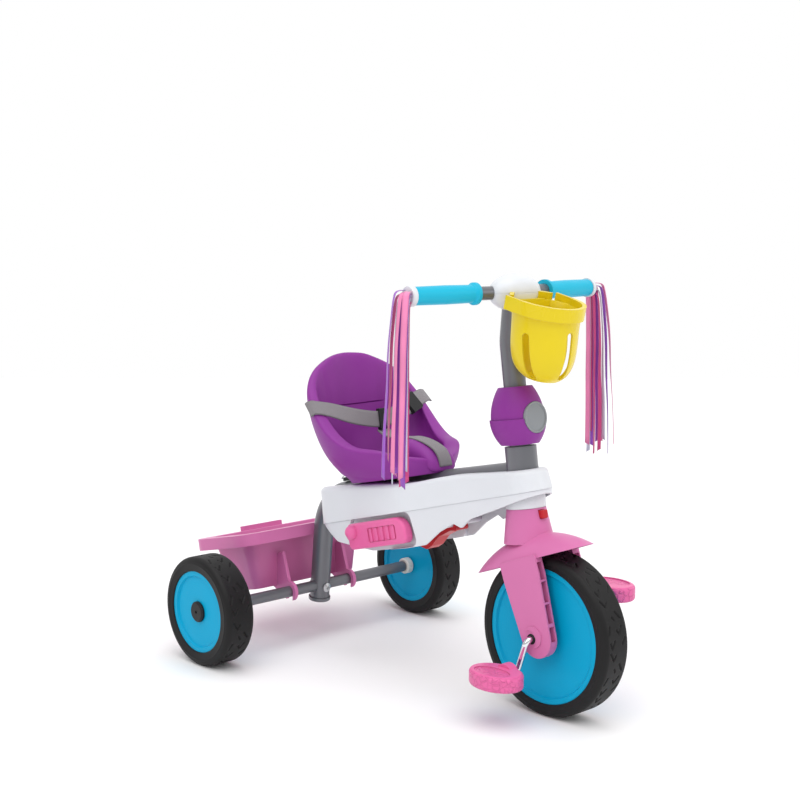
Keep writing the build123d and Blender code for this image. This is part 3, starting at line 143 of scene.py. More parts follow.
class Finish:
    """A material with one shader."""

    def __init__(self, name, **constants):
        self.material = bpy.data.materials.new(name)
        self.material.use_nodes = True
        self.tree = self.material.node_tree
        self.shader = self.tree.nodes["Principled BSDF"]
        for socket, value in constants.items():
            self.shader.inputs[socket.replace("_", " ")].default_value = value

    def feed(self, socket, value):
        if isinstance(value, Signal):
            self.tree.links.new(value.socket, socket)
        else:
            socket.default_value = value

    def node(self, kind, settings, inputs, output=0):
        made = self.tree.nodes.new(kind)
        for setting, value in settings.items():
            setattr(made, setting, value)
        for socket, value in inputs.items():
            self.feed(made.inputs[socket], value)
        return Signal(self, made.outputs[output])

    def place(self):
        return self.node("ShaderNodeTexCoord", {}, {}, "Object")

    def uv(self):
        return self.node("ShaderNodeTexCoord", {}, {}, "UV")

    def noise(self, where, scale, detail=2.0, rough=0.5):
        return self.node(
            "ShaderNodeTexNoise", {}, {"Vector": where, "Scale": scale, "Detail": detail, "Roughness": rough})

    def moved(self, where, shift=(0, 0, 0), stretch=(1, 1, 1), turn=(0, 0, 0)):
        return self.node(
            "ShaderNodeMapping", {}, {"Vector": where, "Location": shift, "Rotation": turn, "Scale": stretch})

    def mix(self, factor, first, second):
        """A colour between two colours."""
        return self.node(
            "ShaderNodeMix", {"data_type": "RGBA"}, {0: factor, 6: first, 7: second}, 2)

    def soft_edge(self, radius):
        return self.node("ShaderNodeBevel", {"samples": 4}, {"Radius": radius})

    def dot(self, first, second):
        return self.node("ShaderNodeVectorMath", {"operation": "DOT_PRODUCT"}, {0: first, 1: second}, "Value")

    def bump(self, height, distance, strength=1.0, normal=None):
        inputs = {"Height": height, "Distance": distance, "Strength": strength}
        if normal is not None:
            inputs["Normal"] = normal
        return self.node("ShaderNodeBump", {}, inputs)

    def shade(self, **inputs):
        for socket, value in inputs.items():
            self.feed(self.shader.inputs[socket.replace("_", " ")], value)
        return self.material


def tint(red, green, blue):
    """A linear colour from screen values between 0 and 255."""
    linear = []
    for value in (red, green, blue):
        share = value / 255
        linear.append(share / 12.92 if share <= 0.04045 else ((share + 0.055) / 1.055) ** 2.4)
    return (*linear, 1.0)


def scaled(colour, share):
    return (*(value * share for value in colour[:3]), 1.0)


print("shader helpers ready")

# %% [markdown]
# Each grip ends in a white plug with eleven satin ribbons. A ribbon leaves the plug straight, folds over within a
# few millimetres and hangs. Its route is a short list of points on a smooth spline, and the flat band is a mesh
# that follows the points read back from that spline, because a curve's own bevel can't twist and cup like satin.

# %% Ribbon routes
BAR_MIDDLE = Vector((0.2005, 0, 0.584))
BAR_SWEEP = math.radians(6.2)
PLUG_FACE = 0.186
# How far a ribbon reaches before it folds, at the lowest root, and how much further at the highest
FOLD_REACH = 4.0
FOLD_SPREAD = 8.0
LOWEST_ROOT = -7.0
ROOT_RANGE = 15.0
FOLD_RISE = 0.8
FOLD_DROP = 12.0
RIBBON_DROPS = (-34, -76, -128, -184, -238)
RIBBON_THICKNESS = 0.5
RIBBON_CLEAR = 0.1
COLUMN_GAP = 5.5
COLUMN_SPLAY = {-1: -12.0, 0: 12.0, 1: 35.0}
SIDES = (("right", -1), ("left", 1))
# Column, height on the plug, width, spread, wave and share of the fall of each ribbon
RIBBONS = {
    "pink": ((-1, -7, 7.0, 1.0, 0.8, 0.97), (1, 7, 9.0, 4.0, 1.0, 1.02), (0, 5.5, 7.0, 2.8, 0.9, 1.0)),
    "rose": ((1, -7, 7.0, 0.8, 0.7, 1.0), (-1, 3, 7.0, 2.0, 0.9, 0.93), (0, -4.5, 6.0, 0.9, 0.8, 1.04)),
    "violet": ((-1, 8, 7.0, 3.0, 1.0, 1.05), (0, 0.5, 7.0, 1.8, 0.8, 0.98), (1, 3, 8.0, 2.6, 0.8, 1.06)),
    "white": ((-1, -2, 6.5, 1.4, 0.9, 1.04), (1, -2, 7.0, 1.6, 0.8, 0.95)),
}


def ribbon_route(start, height, spread, wave, fall):
    """Out from the plug, over and down, as distances out from the plug's face and up from its middle."""
    out = start + FOLD_REACH + FOLD_SPREAD * (height - LOWEST_ROOT) / ROOT_RANGE
    points = [(start, height), (out, height + FOLD_RISE), (out + 4.0, height - FOLD_DROP)]
    for step, drop in enumerate(RIBBON_DROPS):
        sway = wave * (1 if step % 2 else -1)
        points.append((out + 5.0 + spread * (step + 1) + sway, height + drop * fall))
    return points


def spline_points(name, points):
    """Points read from a smooth NURBS spline with these control points."""
    data = bpy.data.curves.new(name, "CURVE")
    data.dimensions = "3D"
    data.resolution_u = 10
    spline = data.splines.new("NURBS")
    spline.points.add(len(points) - 1)
    for point, place in zip(spline.points, points):
        point.co = (*place, 1)
    spline.order_u = 3
    spline.use_endpoint_u = True
    line = add_object(name, data)
    mesh = bpy.data.meshes.new_from_object(line)
    found = [vertex.co.copy() for vertex in mesh.vertices]
    bpy.data.objects.remove(line)
    bpy.data.meshes.remove(mesh)
    bpy.data.curves.remove(data)
    return found


def run_length(points):
    return sum((after - before).length for before, after in zip(points, points[1:]))


print("ribbons on each side:", sum(len(group) for group in RIBBONS.values()))


# %% Flat bands
def flat_band(name, path, sides, width, thickness, cup=0.0, across=4, slant=0.0):
    """A closed flat band along path. sides holds the direction of its width at every point.

    Its UV map is in metres: u from the middle of the width, v along the length.
    """
    mesh = bpy.data.meshes.new(name)
    build = bmesh.new()
    uv_layer = build.loops.layers.uv.new("UVMap")
    shares = [index / across - 0.5 for index in range(across + 1)]
    rings, lengths = [], []
    along = 0.0
    for index, point in enumerate(path):
        before = path[max(index - 1, 0)]
        after = path[min(index + 1, len(path) - 1)]
        run = (after - before).normalized()
        side = (sides[index] - run * sides[index].dot(run)).normalized()
        out = run.cross(side)
        if index:
            along += (point - before).length
        cut = slant * width if index == len(path) - 1 else 0.0
        upper, lower = [], []
        for share in shares:
            crown = cup * width * (0.25 - share * share) * 4
            place = point + side * (share * width) + out * crown + run * (cut * share)
            upper.append(build.verts.new(place + out * (thickness / 2)))
            lower.append(build.verts.new(place - out * (thickness / 2)))
        rings.append(upper + lower[::-1])
        lengths.append(along)
    spans = shares + shares[::-1]
    count = len(spans)

    def add_face(corners):
        face = build.faces.new([rings[ring][place] for ring, place in corners])
        face.smooth = True
        for loop, (ring, place) in zip(face.loops, corners):
            loop[uv_layer].uv = (spans[place] * width, lengths[ring])

    for ring in range(len(rings) - 1):
        for place in range(count):
            after = (place + 1) % count
            add_face([(ring, place), (ring, after), (ring + 1, after), (ring + 1, place)])
    for place in range(across):
        pair = count - 1 - place
        add_face([(0, place), (0, pair), (0, pair - 1), (0, place + 1)])
        last = len(rings) - 1
        add_face([(last, place), (last, place + 1), (last, pair - 1), (last, pair)])
    bmesh.ops.recalc_face_normals(build, faces=build.faces)
    build.to_mesh(mesh)
    build.free()
    return add_object(name, mesh)


print("band maker ready")

# %% [markdown]
# Satin shows fine threads along the ribbon and a soft broad gloss. The UV map runs in metres along the band, so the
# threads stay a fraction of a millimetre apart on every ribbon. A slow painted shade stands for the folds' shading.


# %% Satin finish
def satin(name, colour):
    finish = Finish(name, Sheen_Weight=0.25, Sheen_Roughness=0.35, Specular_IOR_Level=0.5)
    where = finish.uv()
    threads = finish.noise(finish.moved(where, stretch=(2600, 120, 1)), 1.0, 1.0)
    # Slow noise along the band: painted shade that stands for the shading of the folds
    fold_shade = finish.noise(finish.moved(where, stretch=(30, 14, 1)), 1.0, 1.0)
    edge = where.part("X").size().between(0.0019, 0.0031)
    # The colour darkens with the painted fold shade, with the threads, and towards the edges
    shade = fold_shade.between(0.3, 0.7) * 0.5 + threads * 0.25 + edge * 0.25
    return finish.shade(
        Base_Color=finish.mix(shade, colour, scaled(colour, 0.66)),
        Roughness=0.3 + threads * 0.25,
        Normal=finish.bump(threads, 0.00012, 0.6),
    )


RIBBON_COLOURS = {
    "pink": tint(247, 140, 190),
    "rose": tint(222, 72, 140),
    "violet": tint(160, 82, 200),
    "white": tint(226, 230, 248),
}
ribbon_finish = {colour: satin(f"{colour}_ribbon", shade) for colour, shade in RIBBON_COLOURS.items()}
print("satin finishes:", sorted(ribbon_finish))

# %% Streamers
RIBBON_CUP = 0.07
RIBBON_TWIST = 26.0
TWIST_RUN = 3.1
TWIST_STEP = 1.7
SATIN_SHARE = 0.7
END_SLANTS = (-0.6, 0.5)
ribbon_count = 0
for side_word, side in SIDES:
    out = Vector((-math.sin(BAR_SWEEP), side * math.cos(BAR_SWEEP), 0))
    ahead = Vector((side * out.y, -side * out.x, 0))
    plug_face = BAR_MIDDLE + out * PLUG_FACE
    for colour, ribbons in RIBBONS.items():
        for number, (column, height, width, spread, wave, fall) in enumerate(ribbons):
            splay = math.radians(COLUMN_SPLAY[column])
            way = out * math.cos(splay) + ahead * math.sin(splay)
            start = RIBBON_CLEAR + abs(math.tan(splay)) * width / 2
            root = plug_face + ahead * (column * COLUMN_GAP * MM)
            control = [
                root + (way * reach + Vector((0, 0, rise))) * MM
                for reach, rise in ribbon_route(start, height, spread, wave, fall)
            ]
            name = f"ribbon_{side_word}_{colour}_{number + 1}"
            path = spline_points(name, control)
            level = way.cross(Vector((0, 0, 1)))
            turns = []
            for index in range(len(path)):
                share = index / (len(path) - 1)
                turn = math.radians(RIBBON_TWIST) * math.sin(share * TWIST_RUN + TWIST_STEP * ribbon_count) * share
                turns.append(level * math.cos(turn) + way * math.sin(turn))
            slant = END_SLANTS[ribbon_count % 2]
            thickness = RIBBON_THICKNESS * MM * SATIN_SHARE
            ribbon = flat_band(name, path, turns, width * MM, thickness, RIBBON_CUP, 4, slant)
            ribbon.data.materials.append(ribbon_finish[colour])
            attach(ribbon, "steering")
            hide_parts(f"streamer_{side_word}_{colour}")
            ribbon_count += 1
print("ribbons made:", ribbon_count)

# %% [markdown]
# Most pieces are injection moulded. The mould leaves a fine grain, the colour drifts a little, and handling rubs the
# edges. The Bevel node rounds the sharp edges of the rigid model for the light, and where its normal turns away from
# the true one there is an edge, which becomes the mask for a faint wear.


# %% Moulded plastic finish
def moulded(
        name, colour, rough=0.3, grain=0.0011, grain_depth=0.00003, edge=0.0012, wear=0.25, coat=0.0, relief=None):
    finish = Finish(name, Coat_Roughness=0.12, Coat_Weight=coat, Specular_IOR_Level=0.25)
    where = finish.place()
    drift = finish.noise(where, 14.0, 2.0)
    grain_height = finish.noise(where, 1 / grain, 2.0, 0.6)
    streaks = finish.moved(where, stretch=(60, 420, 90), turn=(0.3, 0.5, 0.8))
    scuffs = finish.noise(streaks, 1.0, 3.0).between(0.62, 0.78)
    rounded = finish.soft_edge(edge)
    normal = finish.node("ShaderNodeNewGeometry", {}, {}, "Normal")
    edges = (1.0 - finish.dot(rounded, normal)).between(0.02, 0.3)
    body = finish.mix(drift, scaled(colour, 0.95), scaled(colour, 1.04))
    worn = finish.mix(edges * wear, body, tint(235, 235, 235) if sum(colour[:3]) < 2 else scaled(colour, 0.9))
    surface = finish.bump(grain_height, grain_depth, 1.0, rounded)
    if relief is not None:
        height, depth = relief(finish, where)
        surface = finish.bump(height, depth, 1.0, surface)
    return finish.shade(
        Base_Color=worn,
        Roughness=rough + drift * 0.06 + scuffs * 0.12 + edges * 0.08,
        Normal=surface,
    )


WHITE = tint(221, 224, 229)
PINK = tint(208, 115, 168)
HOT_PINK = tint(230, 104, 163)
PURPLE = tint(137, 50, 145)
YELLOW = tint(228, 203, 20)
BLUE = tint(0, 163, 206)
RED = tint(190, 36, 44)
GREY = tint(140, 144, 149)
finishes = {
    "white_plastic": moulded("white_plastic", WHITE, 0.28, wear=0.05, coat=0.12),
    "pale_plastic": moulded("pale_plastic", tint(214, 214, 206), 0.4),
    "pink_plastic": moulded("pink_plastic", PINK, 0.33, wear=0.1, coat=0.05),
    "purple_plastic": moulded("purple_plastic", PURPLE, 0.46, 0.0015, 0.00012, wear=0.06),
    "yellow_plastic": moulded("yellow_plastic", YELLOW, 0.25, wear=0.1, coat=0.12),
    "blue_grip": moulded("blue_grip", tint(22, 180, 212), 0.38, 0.0016, 0.00008, wear=0.05),
    "red_plastic": moulded("red_plastic", RED, 0.32),
    "black_plastic": moulded("black_plastic", tint(28, 28, 30), 0.42, 0.0009, 0.00005, wear=0.08),
    "grey_plastic": moulded("grey_plastic", GREY, 0.32, coat=0.2),
}
print("moulded finishes:", sorted(finishes))

# %% [markdown]
# Two reliefs are too fine for the rigid model. The seat's back has a shallow ledge at the height of the belt, inside
# the bowl only, so the ledge is masked by an oval in the seat's own directions. The pedals have a cobbled grip on
# the floor of their recess, found by its height above the spindle.

# %% Fine reliefs
SEAT_ORIGIN = Vector((-0.09603, 0, 0.28311))
SEAT_RISE = math.radians(12)
LEDGE_HEIGHT = 0.118
LEDGE_SLOPE = 0.0025
LEDGE_DEPTH = 0.0022
BOWL_MIDDLE = 0.051
BOWL_LENGTH = 0.083
BOWL_WIDTH = 0.096
RECESS_LEVEL = 0.0095
COBBLES = 120.0
COBBLE_DEPTH = 0.0011


def middle(node):
    low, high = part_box(node)
    return (low + high) / 2


def seat_relief(finish, where):
    turned = finish.moved(finish.moved(where, shift=-SEAT_ORIGIN), turn=(0, SEAT_RISE, 0))
    ahead = (turned.part("X") - BOWL_MIDDLE) / BOWL_LENGTH
    aside = turned.part("Y") / BOWL_WIDTH
    bowl = 1.0 - (ahead * ahead + aside * aside).between(0.9, 1.02)
    ledge = turned.part("Z").between(LEDGE_HEIGHT, LEDGE_HEIGHT + LEDGE_SLOPE)
    return bowl * ledge, LEDGE_DEPTH


def pedal_relief(spindle_height):
    def cobbled(finish, where):
        from_spindle = (where.part("Z") - spindle_height).size()
        recess = 1.0 - from_spindle.between(RECESS_LEVEL + 0.0003, RECESS_LEVEL + 0.0008)
        edges = finish.node(
            "ShaderNodeTexVoronoi", {"feature": "DISTANCE_TO_EDGE"}, {"Vector": where, "Scale": COBBLES}, "Distance")
        return recess * edges.between(0.02, 0.16), COBBLE_DEPTH
    return cobbled


special = {
    "seat_shell": moulded("seat_purple", PURPLE, 0.46, 0.0015, 0.00012, wear=0.06, relief=seat_relief),
    "footrest_right": moulded("footrest_pink", HOT_PINK, 0.3, wear=0.1, coat=0.2),
}
special["footrest_left"] = special["footrest_right"]
for side_word, side in SIDES:
    node = f"pedal_{side_word}"
    special[node] = moulded(
        f"{node}_pink", HOT_PINK, 0.34, wear=0.1, coat=0.1, relief=pedal_relief(middle(node).z))
print("pieces with a finish of their own:", sorted(special))

# %% [markdown]
# The tube, stem and axle have a satin metallic paint, the bolt, nut and pins are zinc plated, and the crank is
# chromed. Paint shows as a fine sparkle of flakes under a clear coat, plating as a faint cloudy change in gloss.


# %% Metal finishes
def metal_paint(name, colour):
    finish = Finish(name, Metallic=0.55, Coat_Weight=0.35, Coat_Roughness=0.18)
    where = finish.place()
    flakes = finish.noise(where, 2600.0, 1.0)
    drift = finish.noise(where, 18.0, 3.0)
    rounded = finish.soft_edge(0.0008)
    return finish.shade(
        Base_Color=finish.mix(flakes * 0.5 + drift * 0.4, scaled(colour, 0.85), scaled(colour, 1.15)),
        Roughness=0.34 + drift * 0.12,
        Normal=finish.bump(finish.noise(where, 700.0, 2.0), 0.00002, 0.6, rounded),
    )


def plated(name, colour, rough, cloud):
    finish = Finish(name, Metallic=1.0)
    where = finish.place()
    haze = finish.noise(where, 160.0, 4.0, 0.6)
    rounded = finish.soft_edge(0.0005)
    return finish.shade(
        Base_Color=finish.mix(haze, scaled(colour, 0.9), colour),
        Roughness=rough + haze * cloud,
        Normal=finish.bump(haze, 0.00001, 0.5, rounded),
    )


finishes["frame_grey"] = metal_paint("frame_grey", tint(112, 113, 118))
finishes["zinc_steel"] = plated("zinc_steel", tint(205, 206, 208), 0.24, 0.2)
finishes["chrome_rod"] = plated("chrome_rod", tint(232, 234, 238), 0.05, 0.07)
print("metal finishes added, finishes so far:", len(finishes))

# %% [markdown]
# The wheel discs are turned smooth in the mould, and faint rings around the axle show in a raking light. The rings
# come from the distance to the axle, so the finish needs the wheel's centre, which the frame gives.

# %% Wheel disc finish
RING_PITCH = 0.0042


def disc_blue(name, centre):
    finish = Finish(name, Specular_IOR_Level=0.12)
    where = finish.moved(finish.place(), shift=(-centre.x, 0, -centre.z))
    across, up = where.part("X"), where.part("Z")
    radius = (across * across + up * up) ** 0.5
    rings = (radius * (2 * math.pi / RING_PITCH)).sine()
    drift = finish.noise(where, 16.0, 2.0)
    grain = finish.noise(where, 900.0, 2.0)
    rounded = finish.soft_edge(0.0012)
    return finish.shade(
        # The rings also shift the blue very slightly, a faint painted sheen; in the bump they are real relief
        Base_Color=finish.mix(drift * 0.7 + rings * 0.06, scaled(BLUE, 0.94), scaled(BLUE, 1.05)),
        Roughness=0.34 + drift * 0.08 + rings * 0.02,
        Normal=finish.bump(rings * 0.5 + grain * 0.4, 0.00004, 1.0, rounded),
    )


disc_finish = {
    "front": disc_blue("front_disc_blue", middle("front_tyre")),
    "rear": disc_blue("rear_disc_blue", middle("rear_right_tyre")),
}
print("disc finishes:", sorted(disc_finish))

# %% Give every rigid piece its finish
for subpart in frame["record"]["subparts"]:
    node, slot_name = subpart["node"], subpart["material_slot"]
    if slot_name == "rim_blue":
        material = disc_finish["front" if node.startswith("front") else "rear"]
    else:
        material = special.get(node, finishes.get(slot_name))
    if material is not None:
        nodes[node].data.materials.clear()
        nodes[node].data.materials.append(material)
print("finished nodes:", sum(1 for node in nodes.values() if node.data.materials))

# %% [markdown]
# The tyres are hard foam rubber with a flat sidewall, a thin rib at the shoulder, and short slits cut into the tread in
# slashes and arrowheads. Every tyre follows the same rule, so one Geometry Nodes tree makes all three: it wraps a grid
# around the axle along a section, measures the distance to the nearest slit, and presses the surface in there.


# %% A small helper for node trees
class Maker:
    """A Geometry Nodes tree that is built in code, with named inputs."""

    def __init__(self, name):
        self.tree = bpy.data.node_groups.new(name, "GeometryNodeTree")
        self.tree.interface.new_socket("Geometry", in_out="OUTPUT", socket_type="NodeSocketGeometry")
        self.inputs = self.tree.nodes.new("NodeGroupInput")
        self.output = self.tree.nodes.new("NodeGroupOutput")

    def input(self, name, kind):
        self.tree.interface.new_socket(name, in_out="INPUT", socket_type=f"NodeSocket{kind}")
        return self.inputs.outputs[name]

    def node(self, kind, settings, inputs, output=0):
        made = self.tree.nodes.new(kind)
        for setting, value in settings.items():
            setattr(made, setting, value)
        for socket, value in inputs.items():
            if isinstance(value, bpy.types.NodeSocket):
                self.tree.links.new(value, made.inputs[socket])
            else:
                made.inputs[socket].default_value = value
        return made.outputs[output]

    def math(self, operation, *values):
        return self.node("ShaderNodeMath", {"operation": operation}, dict(enumerate(values)))

    def finish(self, geometry):
        self.tree.links.new(geometry, self.output.inputs["Geometry"])

    def make(self, name, **values):
        """Run the tree on an empty mesh and return the result as a plain mesh object."""
        carrier = add_object(name, bpy.data.meshes.new(name))
        modifier = carrier.modifiers.new("maker", "NODES")
        modifier.node_group = self.tree
        for item in self.tree.interface.items_tree:
            if item.in_out == "INPUT":
                modifier[item.identifier] = values[item.name]
        bpy.context.view_layer.update()
        graph = bpy.context.evaluated_depsgraph_get()
        mesh = bpy.data.meshes.new_from_object(carrier.evaluated_get(graph))
        carrier.modifiers.clear()
        carrier.data = mesh
        mesh.name = name
        return carrier


print("node tree helper ready")

# %% Tyre tree
tyre_maker = Maker("tyre_tree")
section_in = tyre_maker.input("section", "Object")
rows_in = tyre_maker.input("rows", "Int")
steps_in = tyre_maker.input("steps", "Int")
slits_in = tyre_maker.input("slits", "Object")
repeats_in = tyre_maker.input("repeats", "Int")
depth_in = tyre_maker.input("depth", "Float")
half_in = tyre_maker.input("half_width", "Float")
centre_in = tyre_maker.input("centre", "Vector")
rubber_in = tyre_maker.input("rubber", "Material")

grid = tyre_maker.node(
    "GeometryNodeMeshGrid", {},
    {"Size X": 1.0, "Size Y": 1.0, "Vertices X": tyre_maker.math("ADD", steps_in, 1),
     "Vertices Y": tyre_maker.math("ADD", rows_in, 1)})
index = tyre_maker.node("GeometryNodeInputIndex", {}, {})
columns = tyre_maker.math("ADD", rows_in, 1)
step = tyre_maker.math("FLOOR", tyre_maker.math("DIVIDE", index, columns))
row = tyre_maker.math("MODULO", tyre_maker.math("MODULO", index, columns), rows_in)
angle = tyre_maker.math("MULTIPLY", tyre_maker.math("DIVIDE", step, steps_in), 2 * math.pi)
section = tyre_maker.node("GeometryNodeObjectInfo", {}, {"Object": section_in}, "Geometry")
position = tyre_maker.node("GeometryNodeInputPosition", {}, {})
spot = tyre_maker.node(
    "GeometryNodeSampleIndex", {"data_type": "FLOAT_VECTOR"},
    {"Geometry": section, "Value": position, "Index": row})
spot_parts = tyre_maker.node("ShaderNodeSeparateXYZ", {}, {"Vector": spot}, "X").node
wrapped = tyre_maker.node("ShaderNodeCombineXYZ", {}, {
    "X": tyre_maker.math("MULTIPLY", spot_parts.outputs["Y"], tyre_maker.math("COSINE", angle)),
    "Y": spot_parts.outputs["X"],
    "Z": tyre_maker.math("MULTIPLY", spot_parts.outputs["Y"], tyre_maker.math("SINE", angle)),
})
ring = tyre_maker.node("GeometryNodeSetPosition", {}, {"Geometry": grid, "Position": wrapped})
ring = tyre_maker.node("GeometryNodeMergeByDistance", {}, {"Geometry": ring, "Distance": 0.00002})

spots = tyre_maker.node(
    "GeometryNodeMeshLine", {"mode": "OFFSET"}, {"Count": repeats_in, "Offset": (0, 0, 0)})
turn = tyre_maker.math(
    "MULTIPLY", tyre_maker.math("DIVIDE", tyre_maker.node("GeometryNodeInputIndex", {}, {}), repeats_in), 2 * math.pi)
slit_lines = tyre_maker.node("GeometryNodeInstanceOnPoints", {}, {
    "Points": spots,
    "Instance": tyre_maker.node("GeometryNodeObjectInfo", {}, {"Object": slits_in}, "Geometry"),
    "Rotation": tyre_maker.node("ShaderNodeCombineXYZ", {}, {"Y": turn}),
})
slit_lines = tyre_maker.node("GeometryNodeRealizeInstances", {}, {"Geometry": slit_lines})
gap = tyre_maker.node(
    "GeometryNodeProximity", {"target_element": "EDGES"}, {"Geometry": slit_lines}, "Distance")
pressed = tyre_maker.node(
    "ShaderNodeMapRange", {"interpolation_type": "SMOOTHSTEP"},
    {"Value": gap, "From Min": tyre_maker.math("MULTIPLY", half_in, 0.35),
     "From Max": tyre_maker.math("MULTIPLY", half_in, 1.25), "To Min": 1.0, "To Max": 0.0})
parts = tyre_maker.node("ShaderNodeSeparateXYZ", {}, {"Vector": position}, "X").node
radial = tyre_maker.node("ShaderNodeVectorMath", {"operation": "NORMALIZE"}, {
    0: tyre_maker.node("ShaderNodeCombineXYZ", {}, {"X": parts.outputs["X"], "Z": parts.outputs["Z"]})})
push = tyre_maker.node("ShaderNodeVectorMath", {"operation": "SCALE"}, {
    0: radial, "Scale": tyre_maker.math("MULTIPLY", tyre_maker.math("MULTIPLY", pressed, depth_in), -1.0)})
tread = tyre_maker.node("GeometryNodeSetPosition", {}, {"Geometry": ring, "Offset": push})
tread = tyre_maker.node("GeometryNodeTransform", {}, {"Geometry": tread, "Translation": centre_in})
tread = tyre_maker.node("GeometryNodeSetShadeSmooth", {}, {"Geometry": tread})
tread = tyre_maker.node("GeometryNodeRealizeInstances", {}, {"Geometry": tread})
tyre_maker.finish(tyre_maker.node("GeometryNodeSetMaterial", {}, {"Geometry": tread, "Material": rubber_in}))
print("tyre tree nodes:", len(tyre_maker.tree.nodes))

# %% [markdown]
# The section of a tyre is a short outline: out from the bead, a sidewall with a thin rib, a round shoulder, and the
# crown. The slits are listed strokes for one stretch of tread, repeated around the wheel.

# %% Tyre sections and slits
TYRE_HALF = 0.026
SHOULDER = 0.009
SIDEWALL_STEP = 0.0007
RIB_WIDTH = 0.0016
BEAD_ROUND = 0.0022
SHOULDER_STEPS = 12
CROWN_STEPS = 36
BEAD_STEPS = 6
SLIT_DEPTH = 0.0022
SLIT_HALF = 0.0013
# Each stroke is a line of points, forward along the tread and across it, in millimetres
SLIT_STROKES = (
    ((2, -15), (13, -8)), ((13, -8), (6, -4)), ((20, 5), (30, 12)), ((26, -4), (31, -1)),
    ((38, -13), (48, -16)), ((40, 10), (50, 4)), ((50, 4), (44, 0)), ((56, 15), (64, 9)),
    ((58, -6), (68, -12)), ((68, -12), (60, -15)),
)
SLIT_STRETCH = 72.0


def tyre_section(outer, inner):
    """Points across the tyre and out from the axle, from the right bead over the crown and back."""
    wall = TYRE_HALF - SIDEWALL_STEP
    bend = outer - SHOULDER
    rib = bend - 0.0005
    side = [
        (wall - BEAD_ROUND, inner), (wall - 0.0006, inner + 0.0006), (wall, inner + BEAD_ROUND),
        (wall, rib - RIB_WIDTH - 0.0012), (TYRE_HALF - 0.0002, rib - RIB_WIDTH), (TYRE_HALF, rib - RIB_WIDTH / 2),
        (TYRE_HALF - 0.0002, rib), (wall, rib + 0.0009),
    ]
    corner = []
    for index in range(1, SHOULDER_STEPS + 1):
        turn = math.radians(90 * index / SHOULDER_STEPS)
        reach = SHOULDER - SIDEWALL_STEP
        corner.append((TYRE_HALF - SHOULDER + reach * math.cos(turn), bend + SHOULDER * math.sin(turn)))
    left = side + corner
    right = [(-across, out) for across, out in left]
    crown = [
        (-(TYRE_HALF - SHOULDER) * (1 - 2 * index / CROWN_STEPS), outer) for index in range(1, CROWN_STEPS)
    ]
    bead = [
        (-(wall - BEAD_ROUND) * (2 * index / BEAD_STEPS - 1), inner) for index in range(1, BEAD_STEPS)
    ]
    return right + crown + left[::-1] + bead


def line_object(name, points, edges):
    mesh = bpy.data.meshes.new(name)
    mesh.from_pydata(points, edges, [])
    return add_object(name, mesh)


def rubber(name):
    finish = Finish(name, Specular_IOR_Level=0.3)
    where = finish.place()
    bloom = finish.noise(where, 30.0, 4.0, 0.6)
    grain = finish.noise(where, 1100.0, 2.0)
    return finish.shade(
        Base_Color=finish.mix(bloom, tint(9, 8, 9), tint(20, 19, 20)),
        Roughness=0.46 + bloom * 0.2,
        Normal=finish.bump(grain, 0.00006, 0.8),
    )


tyre_rubber = rubber("tyre_black")
print("strokes in one stretch of tread:", len(SLIT_STROKES))

# %% Tyres
TYRES = {
    "front_tyre": ("front_wheel", 0.114, 0.0955, 640),
    "rear_right_tyre": ("rear_right_wheel", 0.085, 0.063, 480),
    "rear_left_tyre": ("rear_left_wheel", 0.085, 0.063, 480),
}
for node, (body, outer, inner, steps) in TYRES.items():
    repeats = round(2 * math.pi * outer / (SLIT_STRETCH * MM))
    points, edges = [], []
    for stroke in SLIT_STROKES:
        for ahead_mm, across_mm in stroke:
            turn = ahead_mm * MM / outer
            points.append((outer * math.cos(turn), across_mm * MM, -outer * math.sin(turn)))
        edges.append((len(points) - 2, len(points) - 1))
    outline = tyre_section(outer, inner)
    section_line = line_object("tyre_outline", [(across, out, 0) for across, out in outline], [])
    slit_line = line_object("slit_strokes", points, edges)
    tyre = tyre_maker.make(
        f"{node}_tread", section=section_line, rows=len(outline), steps=steps, slits=slit_line, repeats=repeats,
        depth=SLIT_DEPTH, half_width=SLIT_HALF, centre=middle(node), rubber=tyre_rubber)
    mend = bmesh.new()
    mend.from_mesh(tyre.data)
    bmesh.ops.recalc_face_normals(mend, faces=mend.faces)
    mend.to_mesh(tyre.data)
    mend.free()
    bpy.data.objects.remove(section_line)
    bpy.data.objects.remove(slit_line)
    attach(tyre, body)
    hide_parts(node)
    print(node, "faces:", len(tyre.data.polygons), "stretches of tread:", repeats)

# %% [markdown]
# The lap belt and the crotch strap are woven webbing. A strap is flat and stiff across its width, so a simulation
# would only blur it: the band maker above lays it along its route, and the weave follows its UV map.

# %% Webbing finish
WEBBING_WIDTH = 0.025
WEAVE_PITCH = 0.0013


def webbing(name, colour):
    finish = Finish(name, Sheen_Weight=0.2, Sheen_Roughness=0.5)
    where = finish.uv()
    across, along = where.part("X"), where.part("Y")
    turns = 2 * math.pi / WEAVE_PITCH
    twill = ((across + along) * turns).sine() * ((across - along * 0.5) * turns * 0.5).sine()
    hem = across.size().between(WEBBING_WIDTH * 0.43, WEBBING_WIDTH * 0.46)
    fuzz = finish.noise(finish.moved(where, stretch=(900, 900, 1)), 1.0, 2.0)
    shade = twill * 0.22 + fuzz * 0.5 + hem * 0.45
    return finish.shade(
        Base_Color=finish.mix(shade, scaled(colour, 1.12), scaled(colour, 0.62)),
        Roughness=0.72 + fuzz * 0.2,
        Normal=finish.bump(twill * 0.6 + fuzz * 0.4, 0.00025, 0.9),
    )


finishes["grey_webbing"] = webbing("grey_webbing", tint(130, 125, 129))
print("webbing finish ready")

# %% Belt routes
REAR_AXLE_X = -0.2295
WEBBING_THICKNESS = 0.0015
